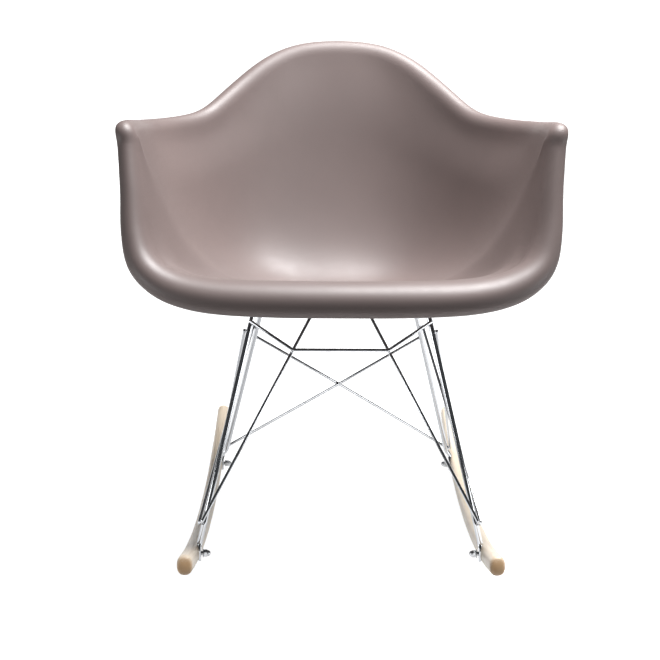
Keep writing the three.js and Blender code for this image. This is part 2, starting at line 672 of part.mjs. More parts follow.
// Axes of a hoop's plane: down the middle of the hoop, and out of it, away from the other hoop.
function hoopAxes(frame) {
  const down = frame.kink.clone().sub(frame.corner).setX(0).normalize();
  const out = new THREE.Vector3().crossVectors(down, across).normalize();
  if (out.y * frame.foot.point.y < 0) {
    out.negate();
  }
  return { down, out };
}

// A point beside a left leg where a wire coming from `from` touches the leg's outer side.
function weldOutside(frame, drop, from) {
  const onLeg = legPoint(frame, drop);
  const leg = frame.kink.clone().sub(frame.corner);
  const side = new THREE.Vector3().crossVectors(leg, onLeg.clone().sub(from)).normalize();
  return onLeg.addScaledVector(side, side.x > 0 ? touch : -touch);
}

function beyond(from, to, length) {
  return to.clone().addScaledVector(to.clone().sub(from).normalize(), length);
}

const frontAxes = hoopAxes(frontFrame);
const rearAxes = hoopAxes(rearFrame);

// The brace lies against the front of the front legs and dips to a level middle.
const braceWeld = legPoint(frontFrame, BRACE_DROP).addScaledVector(frontAxes.out, touch);
const braceCorner = legPoint(frontFrame, BRACE_DROP + BRACE_DIP)
  .addScaledVector(frontAxes.out, touch)
  .setX(BRACE_HALF_FLAT);
const braceTip = beyond(braceCorner, braceWeld, WELD_TIP);
const bracePath = [braceTip, braceCorner, mirrored(braceCorner), mirrored(braceTip)];
addPart('front_brace_wire', wire(bracePath, BRACE_BEND, 4), CHROME);

// Shortest distance from the middle of a hairpinned wire to the middle of a hoop's left leg.
function distanceToLeg(corners, frame) {
  const leg = bentPath([frame.tabTop, frame.kink, frame.corner], HOOP_BEND).map(({ point }) => point);
  const stretches = leg.slice(1).map((point, i) => new THREE.Line3(leg[i], point));
  const nearest = new THREE.Vector3();
  const distances = bentPath(corners, HAIRPIN_BEND, 24).flatMap(({ point }) => (
    stretches.map((stretch) => stretch.closestPointToPoint(point, true, nearest).distanceTo(point))
  ));
  return Math.min(...distances);
}

// Corner of a hairpin that hooks round the outside of a leg at its kink, on a wire that comes from
// `before` and leaves for `after`. It moves further out until the wire clears the leg.
function hairpin(frame, axes, outShare, downShare, before, after) {
  const pin = frame.kink.clone()
    .addScaledVector(across, touch + HAIRPIN_CORNER.side * HAIRPIN_BEND)
    .addScaledVector(axes.out, touch + outShare * HAIRPIN_BEND)
    .addScaledVector(axes.down, downShare * HAIRPIN_BEND);
  for (let pass = 0; pass < 4; pass += 1) {
    const short = touch - distanceToLeg([before, pin, after], frame);
    pin.addScaledVector(across, Math.max(0, short));
  }
  return pin;
}

// Where two lines cross as seen from the side: the place on the second line, and how much further
// out than the first it lies there.
function crossingFromSide([a, b], [c, d]) {
  const [first, second] = [b.clone().sub(a), d.clone().sub(c)];
  const turn = first.y * second.z - first.z * second.y;
  const share = ((a.y - c.y) * first.z - (a.z - c.z) * first.y) / -turn;
  const place = c.clone().addScaledVector(second, share);
  const alongFirst = (place.y - a.y) / first.y;
  return { place, further: place.x - (a.x + alongFirst * first.x) };
}

// A front wire runs from the front bar behind the brace's corner, round its hairpin at the front
// foot and up to the outside of the rear leg.
const braceCrossing = braceCorner.clone().addScaledVector(frontAxes.out, -cross);
const frontPin = hairpin(
  frontFrame, frontAxes, HAIRPIN_CORNER.front, HAIRPIN_CORNER.frontDown,
  braceCrossing, legPoint(rearFrame, ARM_WELD_DROP),
);
const barShare = (frontFrame.corner.z - touch - frontPin.z) / (braceCrossing.z - frontPin.z);
const frontWireTop = frontPin.clone().lerp(braceCrossing, barShare);
const frontWireEnd = beyond(frontPin, weldOutside(rearFrame, ARM_WELD_DROP, frontPin), WELD_TIP);

// A rear wire runs from behind the opposite rear leg, past its twin, round its hairpin at the
// rear foot and up to the outside of the front leg. One twin bows forwards, the other backwards.
const crossWeld = mirrored(legPoint(rearFrame, CROSS_WELD_DROP).addScaledVector(rearAxes.out, touch));
const rearPin = hairpin(
  rearFrame, rearAxes, HAIRPIN_CORNER.rear, HAIRPIN_CORNER.rearDown,
  crossWeld, legPoint(frontFrame, ARM_WELD_DROP),
);
const rearWireTop = beyond(rearPin, crossWeld, WELD_TIP);
const middleShare = rearPin.x / (rearPin.x - crossWeld.x);
const rearWireMiddle = rearPin.clone().lerp(crossWeld, middleShare);
const rearWireEnd = beyond(rearPin, weldOutside(frontFrame, ARM_WELD_DROP, rearPin), WELD_TIP);

// A rear wire passes outside the front wire on its side, and bows out only if it has to.
const passing = crossingFromSide([frontPin, frontWireEnd], [rearPin, rearWireEnd]);
const bowOut = Math.max(0, cross - passing.further);
const passingCorners = bowOut > 0 ? [passing.place.addScaledVector(across, bowOut)] : [];

for (const [sideName, side] of [['left', 1], ['right', -1]]) {
  const frontWire = [frontWireTop, frontPin, frontWireEnd].map((point) => sided(point, side));
  addPart(`front_cradle_wire_${sideName}`, wire(frontWire, HAIRPIN_BEND, 8), CHROME);

  const bowed = rearWireMiddle.clone().addScaledVector(rearAxes.out, (side * cross) / 2);
  const rearWire = [rearWireTop, bowed, rearPin, ...passingCorners, rearWireEnd];
  const rearBends = [PASSING_BEND, HAIRPIN_BEND, ...passingCorners.map(() => PASSING_BEND)];
  const rearSided = rearWire.map((point) => sided(point, side));
  addPart(`rear_cradle_wire_${sideName}`, wire(rearSided, rearBends, 8), CHROME);
}

export default chair;
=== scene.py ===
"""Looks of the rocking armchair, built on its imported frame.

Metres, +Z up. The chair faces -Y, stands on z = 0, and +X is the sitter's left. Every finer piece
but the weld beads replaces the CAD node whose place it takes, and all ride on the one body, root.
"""

import logging
import math
from dataclasses import dataclass, field
from enum import Enum
from typing import Callable, Sequence

import bmesh
import bpy
import numpy
from mathutils import Matrix, Vector


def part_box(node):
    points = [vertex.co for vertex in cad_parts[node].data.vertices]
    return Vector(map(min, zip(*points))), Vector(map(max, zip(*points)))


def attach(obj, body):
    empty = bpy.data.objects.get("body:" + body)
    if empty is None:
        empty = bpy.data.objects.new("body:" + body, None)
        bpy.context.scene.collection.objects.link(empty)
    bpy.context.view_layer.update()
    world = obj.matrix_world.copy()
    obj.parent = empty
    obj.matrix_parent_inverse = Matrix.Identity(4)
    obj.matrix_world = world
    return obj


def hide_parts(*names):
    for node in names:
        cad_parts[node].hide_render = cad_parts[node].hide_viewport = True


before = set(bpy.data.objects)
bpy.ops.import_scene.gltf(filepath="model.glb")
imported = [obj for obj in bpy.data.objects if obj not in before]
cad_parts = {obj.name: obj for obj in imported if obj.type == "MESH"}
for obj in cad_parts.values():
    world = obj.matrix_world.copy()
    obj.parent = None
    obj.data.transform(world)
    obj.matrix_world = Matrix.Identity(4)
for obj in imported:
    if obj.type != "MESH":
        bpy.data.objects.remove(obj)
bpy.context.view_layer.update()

LOG = logging.getLogger("rocking_armchair")
MM = 0.001
BODY = "root"
X_AXIS = Vector((1.0, 0.0, 0.0))
Y_AXIS = Vector((0.0, 1.0, 0.0))
Z_AXIS = Vector((0.0, 0.0, 1.0))


class Side(Enum):
    """The two sides of the chair, as the sign of x."""

    LEFT = 1
    RIGHT = -1

    @property
    def word(self) -> str:
        """The side's name as node names spell it."""
        return self.name.lower()

    def place(self, point: Vector) -> Vector:
        """A point of the left side, moved to this side."""
        return Vector((self.value * point.x, point.y, point.z))


class End(Enum):
    """The two ends of the chair, as the sign of y away from the middle."""

    FRONT = -1
    REAR = 1

    @property
    def word(self) -> str:
        """The end's name as node names spell it."""
        return self.name.lower()


CORNERS = [(end, side) for end in End for side in Side]


# ---- Finishes ------------------------------------------------------------------------------------


class Recipe:
    """A material under construction: a node tree with short calls to add and join nodes."""

    def __init__(self, name: str) -> None:
        """Starts a material with one Principled shader.

        Args:
            name: the material's name.
        """
        self.material = bpy.data.materials.new(name)
        self.material.use_nodes = True
        self.nodes = self.material.node_tree.nodes
        self.links = self.material.node_tree.links
        self.shader = self.nodes["Principled BSDF"]
        self.place = self.nodes.new("ShaderNodeTexCoord").outputs["Object"]

    def node(self, kind: str, settings: dict | None = None, **inputs: object) -> bpy.types.Node:
        """Adds a node.

        Args:
            kind: the node's type without its ShaderNode prefix.
            settings: attributes of the node itself.
            inputs: values or output sockets for its input sockets, by name with _ for a space.

        Returns:
            The new node.
        """
        node = self.nodes.new("ShaderNode" + kind)
        for key, value in (settings or {}).items():
            setattr(node, key, value)
        for key, value in inputs.items():
            self.feed(node.inputs[key.replace("_", " ")], value)
        return node

    def feed(self, socket: bpy.types.NodeSocket, value: object) -> None:
        """Sets an input socket to a value, or links an output socket to it.

        Args:
            socket: the input socket.
            value: a value or an output socket.
        """
        if isinstance(value, bpy.types.NodeSocket):
            self.links.new(value, socket)
        else:
            socket.default_value = value

    def stretched(self, scale: Sequence[float], place: object = None) -> bpy.types.NodeSocket:
        """Coordinates multiplied by a scale along each axis.

        Args:
            scale: the three factors.
            place: the coordinates, object coordinates if left out.

        Returns:
            The stretched coordinates' socket.
        """
        node = self.node("Mapping", Scale=scale)
        self.feed(node.inputs["Vector"], place or self.place)
        return node.outputs["Vector"]

    def noise(self, scale: float, detail: float = 3.0, rough: float = 0.5,
              place: object = None) -> bpy.types.NodeSocket:
        """Fractal noise between 0 and 1.

        Args:
            scale: bumps per metre.
            detail: octaves.
            rough: how strong the finer octaves are.
            place: the coordinates, object coordinates if left out.

        Returns:
            The noise's value socket.
        """
        node = self.node("TexNoise", Scale=scale, Detail=detail, Roughness=rough)
        self.feed(node.inputs["Vector"], place or self.place)
        return node.outputs["Fac"]

    def math(self, operation: str, first: object, second: object = 0.0) -> bpy.types.NodeSocket:
        """One step of arithmetic.

        Args:
            operation: the step, as the Math node names it.
            first: a value or a socket.
            second: the same.

        Returns:
            The result's socket.
        """
        node = self.node("Math", {"operation": operation})
        self.feed(node.inputs[0], first)
        self.feed(node.inputs[1], second)
        return node.outputs["Value"]

    def fit(self, value: bpy.types.NodeSocket, low: float, high: float, to_low: float,
            to_high: float) -> bpy.types.NodeSocket:
        """Maps a range onto another, held at its ends.

        Args:
            value: what is mapped.
            low: start of its range.
            high: end of its range.
            to_low: start of the new range.
            to_high: end of the new range.

        Returns:
            The mapped value's socket.
        """
        node = self.node("MapRange", Value=value, From_Min=low, From_Max=high, To_Min=to_low,
                         To_Max=to_high)
        return node.outputs["Result"]

    def blend(self, share: object, first: object, second: object) -> bpy.types.NodeSocket:
        """Blends two colours.

        Args:
            share: how much of the second colour shows, a number or a socket.
            first: a colour or a colour socket.
            second: the same.

        Returns:
            The blended colour's socket.
        """
        node = self.node("Mix", {"data_type": "RGBA"})
        for socket, value in zip((node.inputs[0], node.inputs[6], node.inputs[7]),
                                 (share, first, second)):
            self.feed(socket, value)
        return node.outputs[2]

    def bump(self, height: bpy.types.NodeSocket, distance: float, strength: float = 1.0,
             under: bpy.types.NodeSocket | None = None) -> bpy.types.NodeSocket:
        """A bumped normal.

        Args:
            height: the bumps' height, 0 to 1.
            distance: their depth in metres at height 1.
            strength: how much of them shows.
            under: another bumped normal that they lie on.

        Returns:
            The normal's socket.
        """
        node = self.node("Bump", Height=height, Distance=distance, Strength=strength)
        if under is not None:
            self.feed(node.inputs["Normal"], under)
        return node.outputs["Normal"]

    def surface(self, **inputs: object) -> None:
        """Feeds the shader's own sockets.

        Args:
            inputs: values or output sockets, by socket name with _ for a space.
        """
        for key, value in inputs.items():
            self.feed(self.shader.inputs[key.replace("_", " ")], value)


def tint(red: float, green: float, blue: float) -> tuple[float, float, float, float]:
    """A linear colour with full alpha."""
    return (red, green, blue, 1.0)


@dataclass(frozen=True)
class MouldedPlastic:
    """Satin moulded plastic: a fine moulded grain, faint flow clouds and a few light scuffs."""

    slot: str = "shell"
    colour: tuple = tint(0.195, 0.150, 0.142)
    cloud: tuple = tint(0.180, 0.139, 0.132)
    roughness: float = 0.48
    speckle: tuple = tint(0.235, 0.184, 0.176)
    grain_per_metre: float = 1900.0
    grain_depth: float = 0.012 * MM
    flow_per_metre: float = 14.0
    flow_depth: float = 0.25 * MM

    def material(self) -> bpy.types.Material:
        """Makes the finish.

        Returns:
            The finished material.
        """
        recipe = Recipe("moulded_plastic")
        clouds = recipe.fit(recipe.noise(5.0, 4.0, 0.55), 0.35, 0.65, 0.0, 1.0)
        colour = recipe.blend(clouds, self.colour, self.cloud)
        dots = recipe.fit(recipe.noise(900.0, 2.0), 0.35, 0.7, 0.0, 0.10)
        colour = recipe.blend(dots, colour, self.speckle)
        scuffs = recipe.noise(60.0, 5.0, 0.7, recipe.stretched((1.0, 0.35, 1.6)))
        handled = recipe.fit(recipe.noise(9.0, 3.0), 0.3, 0.7, -0.025, 0.03)
        roughness = recipe.math("ADD", recipe.fit(scuffs, 0.4, 0.75, self.roughness, self.roughness + 0.05),
                                handled)
        grain = recipe.noise(self.grain_per_metre, 2.0, 0.6)
        fine = recipe.bump(grain, self.grain_depth, 0.6)
        flow = recipe.noise(self.flow_per_metre, 2.0, 0.4)
        normal = recipe.bump(flow, self.flow_depth, 0.25, fine)
        recipe.surface(Base_Color=colour, Roughness=roughness, Normal=normal, IOR=1.5,
                       Specular_IOR_Level=0.65)
        return recipe.material


@dataclass(frozen=True)
class BrightPlating:
    """Bright plated wire with faint drawing lines, dull breath and specks of dust."""

    slot: str = "chrome"
    colour: tuple = tint(0.50, 0.51, 0.53)
    dull: tuple = tint(0.42, 0.43, 0.44)
    roughness: float = 0.07

    def material(self) -> bpy.types.Material:
        """Makes the finish.

        Returns:
            The finished material.
        """
        recipe = Recipe("bright_plating")
        breath = recipe.noise(22.0, 4.0, 0.6)
        colour = recipe.blend(recipe.fit(breath, 0.4, 0.75, 0.0, 0.6), self.colour, self.dull)
        dust = recipe.fit(recipe.noise(2600.0, 1.0), 0.69, 0.76, 0.0, 0.22)
        roughness = recipe.math("ADD", recipe.fit(breath, 0.35, 0.7, self.roughness, self.roughness + 0.07),
                                dust)
        drawn = recipe.noise(900.0, 3.0, 0.6, recipe.stretched((1.0, 1.0, 0.06)))
        normal = recipe.bump(drawn, 0.006 * MM, 0.5)
        recipe.surface(Base_Color=colour, Metallic=1.0, Roughness=roughness, Normal=normal)
        return recipe.material


@dataclass(frozen=True)
class ZincSteel:
    """Zinc plated fasteners: turned rings and mottled plating, darker and duller in random patches."""

    slot: str = "steel"
    colour: tuple = tint(0.50, 0.51, 0.53)
    stain: tuple = tint(0.33, 0.32, 0.31)

    def material(self) -> bpy.types.Material:
        """Makes the finish.

        Returns:
            The finished material.
        """
        recipe = Recipe("zinc_steel")
        mottle = recipe.noise(420.0, 4.0, 0.65)
        colour = recipe.blend(recipe.fit(mottle, 0.45, 0.75, 0.0, 0.75), self.colour, self.stain)
        roughness = recipe.fit(mottle, 0.3, 0.8, 0.2, 0.42)
        turned = recipe.noise(3000.0, 2.0, 0.5, recipe.stretched((1.0, 0.12, 0.12)))
        recipe.surface(Base_Color=colour, Metallic=1.0, Roughness=roughness,
                       Normal=recipe.bump(turned, 0.01 * MM, 0.5))
        return recipe.material


@dataclass(frozen=True)
class Brass:
    """Plain machined brass, slightly tarnished."""

    slot: str = "brass"
    clean: tuple = tint(0.56, 0.34, 0.12)
    tarnished: tuple = tint(0.34, 0.20, 0.08)

    def material(self) -> bpy.types.Material:
        """Makes the finish.

        Returns:
            The finished material.
        """
        recipe = Recipe("machined_brass")
        tarnish = recipe.fit(recipe.noise(260.0, 4.0, 0.6), 0.4, 0.7, 0.0, 1.0)
        colour = recipe.blend(tarnish, self.clean, self.tarnished)
        recipe.surface(Base_Color=colour, Metallic=1.0, Roughness=recipe.fit(tarnish, 0.0, 1.0, 0.25, 0.45),
                       Normal=recipe.bump(recipe.noise(2200.0), 0.008 * MM, 0.4))
        return recipe.material


@dataclass(frozen=True)
class BlackRubber:
    """Dull black rubber with moulding bloom."""

    slot: str = "rubber"
    black: tuple = tint(0.011, 0.011, 0.012)
    bloomed: tuple = tint(0.026, 0.026, 0.027)

    def material(self) -> bpy.types.Material:
        """Makes the finish.

        Returns:
            The finished material.
        """
        recipe = Recipe("black_rubber")
        bloom = recipe.fit(recipe.noise(150.0, 4.0, 0.6), 0.45, 0.7, 0.0, 1.0)
        colour = recipe.blend(bloom, self.black, self.bloomed)
        recipe.surface(Base_Color=colour, Roughness=recipe.fit(bloom, 0.0, 1.0, 0.62, 0.85),
                       Normal=recipe.bump(recipe.noise(1500.0, 3.0), 0.03 * MM, 0.6))
        return recipe.material


@dataclass(frozen=True)
class LacqueredMaple:
    """Pale maple under satin lacquer: growth rings that follow the bend, pores and browner ends."""

    slot: str = "maple"
    pale: tuple = tint(0.95, 0.81, 0.64)
    late: tuple = tint(0.82, 0.65, 0.47)
    patch: tuple = tint(0.96, 0.85, 0.71)
    end_grain: tuple = tint(0.64, 0.37, 0.16)
    bend_centre: tuple[float, float] = (-0.008, 1.344)
    bend_radius: float = 1.330
    end_from: float = 0.3665
    end_to: float = 0.3715
    rings_per_metre: float = 290.0

    def length(self, recipe: Recipe) -> bpy.types.NodeSocket:
        """The distance along the chair, straight, in metres.

        Args:
            recipe: the material being made.

        Returns:
            The distance's socket.
        """
        split = recipe.node("SeparateXYZ")
        recipe.feed(split.inputs["Vector"], recipe.place)
        return split.outputs["Y"]

    def bent_place(self, recipe: Recipe) -> bpy.types.NodeSocket:
        """Coordinates that follow the bend.

        Args:
            recipe: the material being made.

        Returns:
            A vector of (across, along, depth) in metres.
        """
        split = recipe.node("SeparateXYZ")
        recipe.feed(split.inputs["Vector"], recipe.place)
        across, length, height = split.outputs
        forward = recipe.math("SUBTRACT", length, self.bend_centre[0])
        below = recipe.math("SUBTRACT", self.bend_centre[1], height)
        along = recipe.math("MULTIPLY", recipe.math("ARCTAN2", forward, below), self.bend_radius)
        squares = recipe.math("ADD", recipe.math("MULTIPLY", forward, forward),
                              recipe.math("MULTIPLY", below, below))
        depth = recipe.math("SUBTRACT", recipe.math("SQRT", squares), self.bend_radius)
        joined = recipe.node("CombineXYZ", X=across, Y=along, Z=depth)
        return joined.outputs["Vector"]

    def material(self) -> bpy.types.Material:
        """Makes the finish.

        Returns:
            The finished material.
        """
        recipe = Recipe("lacquered_maple")
        place = self.bent_place(recipe)
        drift = recipe.noise(16.0, 3.0, 0.5, recipe.stretched((1.0, 0.12, 1.0), place))
        split = recipe.node("SeparateXYZ")
        recipe.feed(split.inputs["Vector"], place)
        pith = recipe.math("ADD", recipe.math("MULTIPLY", split.outputs["Z"], 0.9),
                           recipe.math("MULTIPLY", split.outputs["X"], 0.45))
        rings = recipe.math("ADD", recipe.math("MULTIPLY", pith, self.rings_per_metre),
                            recipe.math("MULTIPLY", drift, 9.0))
        band = recipe.math("FRACT", rings)
        late_wood = recipe.fit(band, 0.55, 1.0, 0.0, 0.55)
        colour = recipe.blend(late_wood, self.pale, self.late)
        fleck = recipe.noise(700.0, 3.0, 0.6, recipe.stretched((1.0, 0.05, 1.0), place))
        colour = recipe.blend(recipe.fit(fleck, 0.52, 0.72, 0.0, 0.45), colour, self.late)
        mottle = recipe.noise(9.0, 2.0, 0.5, recipe.stretched((1.0, 0.4, 1.0), place))
        colour = recipe.blend(recipe.fit(mottle, 0.3, 0.7, 0.0, 0.30), colour, self.patch)
        frayed = recipe.math("ADD", recipe.math("ABSOLUTE", self.length(recipe)),
                             recipe.fit(fleck, 0.3, 0.7, -0.001, 0.001))
        cut_end = recipe.fit(frayed, self.end_from, self.end_to, 0.0, 0.85)
        colour = recipe.blend(cut_end, colour, self.end_grain)
        pores = recipe.noise(1400.0, 2.0, 0.6, recipe.stretched((1.0, 0.03, 1.0), place))
        normal = recipe.bump(pores, 0.03 * MM, 0.5)
        roughness = recipe.math("ADD", recipe.fit(fleck, 0.3, 0.7, 0.40, 0.50),
                                recipe.math("MULTIPLY", cut_end, 0.15))
        recipe.surface(Base_Color=colour, Roughness=roughness, Normal=normal, Coat_Weight=0.25,
                       Coat_Roughness=0.22)
        return recipe.material


@dataclass(frozen=True)
class PaleFloor:
    """A plain matt studio floor that glows evenly, all but white, with worn patches."""

    colour: tuple = tint(0.30, 0.30, 0.30)
    patch: tuple = tint(0.885, 0.887, 0.89)
    light: tuple = tint(1.0, 1.0, 1.0)
    glow: float = 0.96

    def material(self) -> bpy.types.Material:
        """Makes the finish.

        Returns:
            The finished material.
        """
        recipe = Recipe("pale_floor")
        worn = recipe.fit(recipe.noise(1.3, 4.0, 0.6), 0.4, 0.7, 0.0, 1.0)
        colour = recipe.blend(worn, self.colour, self.patch)
        recipe.surface(Base_Color=colour, Roughness=recipe.fit(worn, 0.0, 1.0, 0.75, 0.85),
                       Normal=recipe.bump(recipe.noise(180.0), 0.05 * MM, 0.2))
        recipe.surface(Specular_IOR_Level=0.2, Emission_Color=self.light, Emission_Strength=self.glow)
        return recipe.material


# ---- Mesh work -----------------------------------------------------------------------------------


@dataclass
class Station:
    """A place along a path: a point, the way the path runs there, and the section it carries."""

    point: Vector
    tangent: Vector
    half_a: float = 0.0
    half_b: float = 0.0
    exponent: float = 2.0


def section(half_a: float, half_b: float, exponent: float, sides: int) -> list[tuple[float, float]]:
    """A superellipse whose flats lie at exactly the two half sizes.

    Args:
        half_a: half size along the first direction.
        half_b: half size along the second.
        exponent: 2 is round, 5 is nearly square.
        sides: number of points.

    Returns:
        The points, as pairs.
    """
    power = 2.0 / exponent
    flat = math.cos(math.pi / sides) ** power

    def bent(value: float) -> float:
        """A sine or cosine bent to the section's shape."""
        return math.copysign(abs(value) ** power, value) / flat

    angles = [(i + 0.5) * math.tau / sides for i in range(sides)]
    return [(half_a * bent(math.cos(a)), half_b * bent(math.sin(a))) for a in angles]


def bent_path(corners: Sequence[Vector], bends: Sequence[float], steps: int) -> list[Station]:
    """Walks a list of corners and rounds each inner one.

    Args:
        corners: the path's corners, its two ends included.
        bends: the bend radius at each inner corner.
        steps: steps round each bend.

    Returns:
        Stations along the path.
    """
    stations = [Station(corners[0], (corners[1] - corners[0]).normalized())]
    for before, corner, after, radius in zip(corners, corners[1:], corners[2:], bends):
        arriving = (corner - before).normalized()
        leaving = (after - corner).normalized()
        turn = arriving.angle(leaving)
        start = corner - arriving * radius * math.tan(turn / 2)
        inward = (leaving - arriving * leaving.dot(arriving)).normalized()
        for step in range(steps + 1):
            angle = turn * step / steps
            point = start + arriving * radius * math.sin(angle) + inward * radius * (1 - math.cos(angle))
            stations.append(Station(point, arriving * math.cos(angle) + inward * math.sin(angle)))
    stations.append(Station(corners[-1], (corners[-1] - corners[-2]).normalized()))
    return stations


def loft(rings: Sequence[Sequence[Vector]]) -> bmesh.types.BMesh:
    """Skins rings of points into one closed body with a flat cap at each end.

    Args:
        rings: rings with the same number of points.

    Returns:
        The mesh.
    """
    mesh = bmesh.new()
    rows = [[mesh.verts.new(point) for point in ring] for ring in rings]
    count = len(rows[0])
    for low, high in zip(rows, rows[1:]):
        for i in range(count):
            j = (i + 1) % count
            mesh.faces.new((low[i], low[j], high[j], high[i]))
    mesh.faces.new(list(reversed(rows[0])))
    mesh.faces.new(rows[-1])
    bmesh.ops.recalc_face_normals(mesh, faces=mesh.faces)
    return mesh


def sweep(stations: Sequence[Station], side: Vector, sides: int) -> bmesh.types.BMesh:
    """Sweeps a changing section along stations.

    Args:
        stations: stations with their sections.
        side: the way a section's first half size points, made square to the path.
        sides: points round a section.

    Returns:
        The mesh.
    """
    rings = []
    for station in stations:
        across = (side - station.tangent * side.dot(station.tangent)).normalized()
        up = station.tangent.cross(across)
        points = section(station.half_a, station.half_b, station.exponent, sides)
        rings.append([station.point + across * a + up * b for a, b in points])
    return loft(rings)


def round_wire(stations: Sequence[Station], radius: float, sides: int) -> bmesh.types.BMesh:
    """A round wire along stations, its cut ends slightly rounded over.

    Args:
        stations: the path.
        radius: the wire's radius.
        sides: points round the wire.

    Returns:
        The mesh.
    """
    tangent = stations[0].tangent
    across = tangent.orthogonal().normalized()
    frames = []
    for station in stations:
        across = (across - station.tangent * across.dot(station.tangent)).normalized()
        frames.append((station.point, station.tangent, across))
    inset_most = 0.42
    rounding = [(inset_most, 0.55), (0.18, 0.86), (0.0, 1.0)]
    first, last = frames[0], frames[-1]
    start = [(first[0] + first[1] * radius * (inset_most - inset), first[1], first[2], share)
             for inset, share in rounding]
    end = [(last[0] - last[1] * radius * (inset_most - inset), last[1], last[2], share)
           for inset, share in reversed(rounding)]
    whole = start + [(point, way, square, 1.0) for point, way, square in frames[1:-1]] + end
    rings = []
    for point, way, square, share in whole:
        up = way.cross(square)
        angles = [i * math.tau / sides for i in range(sides)]
        rings.append([point + (square * math.cos(a) + up * math.sin(a)) * radius * share for a in angles])
    return loft(rings)


def turned(profile: Sequence[tuple[float, float]], sides: int = 48,
           shape: Callable[[float], float] | None = None) -> bmesh.types.BMesh:
    """Turns a profile about +Z.

    Args:
        profile: pairs of radius and height, from one end to the other.
        sides: points round the piece.
        shape: the largest radius at an angle, for a piece that isn't round; the radius is held to it.

    Returns:
        The mesh, open only where the profile ends off the axis.
    """
    mesh = bmesh.new()
    rows = []
    for radius, height in profile:
        if radius == 0.0:
            rows.append([mesh.verts.new((0.0, 0.0, height))])
            continue
        ring = []
        for i in range(sides):
            angle = i * math.tau / sides
            reach = min(radius, shape(angle)) if shape else radius
            ring.append(mesh.verts.new((reach * math.cos(angle), reach * math.sin(angle), height)))
        rows.append(ring)
    for low, high in zip(rows, rows[1:]):
        for i in range(sides):
            j = (i + 1) % sides
            corners = [low[i % len(low)], low[j % len(low)], high[j % len(high)], high[i % len(high)]]
            unique = list(dict.fromkeys(corners))
            if len(unique) > 2:
                mesh.faces.new(unique)
    bmesh.ops.remove_doubles(mesh, verts=mesh.verts, dist=1e-7)
    bmesh.ops.recalc_face_normals(mesh, faces=mesh.faces)
    return mesh


def rounded(radius: float, low: float, high: float, fillet: float,
            steps: int = 4) -> list[tuple[float, float]]:
    """Profile of a solid disc or rod with rounded rims, from its lower middle to its upper one.

    Args:
        radius: the disc's radius.
        low: height of its lower face.
        high: height of its upper face.
        fillet: radius of both rims.
        steps: steps round each rim.

    Returns:
        Pairs of radius and height.
    """
    points = [(0.0, low)]
    for centre, start in ((low + fillet, -90), (high - fillet, 0)):
        for step in range(steps + 1):
            angle = math.radians(start + 90 * step / steps)
            points.append((radius - fillet + fillet * math.cos(angle), centre + fillet * math.sin(angle)))
    points.append((0.0, high))
    return points


def rounded_ring(radius: float, hole: float, low: float, high: float, fillet: float,
                 steps: int = 4) -> list[tuple[float, float]]:
    """Closed profile of a washer with rounded rims, its last point on its first.

    Args:
        radius: the washer's radius.
        hole: radius of its hole.
        low: height of its lower face.
        high: height of its upper face.
        fillet: radius of the outer rims; the inner ones are cut at half of it.
        steps: steps round each rim.

    Returns:
        Pairs of radius and height.
    """
    middle_points = rounded(radius, low, high, fillet, steps)[1:-1]
    inner = fillet / 2
    bore = [(hole + inner, high), (hole, high - inner), (hole, low + inner), (hole + inner, low)]
    return middle_points + bore + middle_points[:1]


def settle(piece: bpy.types.Object) -> None:
    """Applies all of a piece's modifiers to its mesh.

    Args:
        piece: the piece.
    """
    graph = bpy.context.evaluated_depsgraph_get()
    mesh = bpy.data.meshes.new_from_object(piece.evaluated_get(graph))
    piece.modifiers.clear()
    old = piece.data
    piece.data = mesh
    bpy.data.meshes.remove(old)


def loose_object(name: str, mesh: bmesh.types.BMesh) -> bpy.types.Object:
    """An object of a mesh under construction, in the scene but with no material yet.

    Args:
        name: the object's name.
        mesh: the mesh, which is used up.

    Returns:
        The object.
    """
    data = bpy.data.meshes.new(name)
    mesh.to_mesh(data)
    mesh.free()
    piece = bpy.data.objects.new(name, data)
    bpy.context.scene.collection.objects.link(piece)
    return piece


def combine(piece: bpy.types.Object, tools: Sequence[bpy.types.Object], operation: str) -> None:
    """Cuts or joins tools into a piece and throws the tools away.

    Args:
        piece: the piece that is kept.
        tools: the pieces that shape it.
        operation: DIFFERENCE or UNION.
    """
    for tool in tools:
        modifier = piece.modifiers.new("shape", "BOOLEAN")
        modifier.operation = operation
        modifier.solver = "EXACT"
        modifier.object = tool
    settle(piece)
    for tool in tools:
        bpy.data.objects.remove(tool)


def soften(piece: bpy.types.Object, width: float, segments: int = 2, angle: float = 40.0) -> None:
    """Rounds a piece's sharp edges.

    Args:
        piece: the piece.
        width: how far the rounding reaches.
        segments: steps across it.
        angle: edges sharper than this many degrees are rounded.
    """
    modifier = piece.modifiers.new("rounding", "BEVEL")
    modifier.width = width
    modifier.segments = segments
    modifier.limit_method = "ANGLE"
    modifier.angle_limit = math.radians(angle)
    settle(piece)


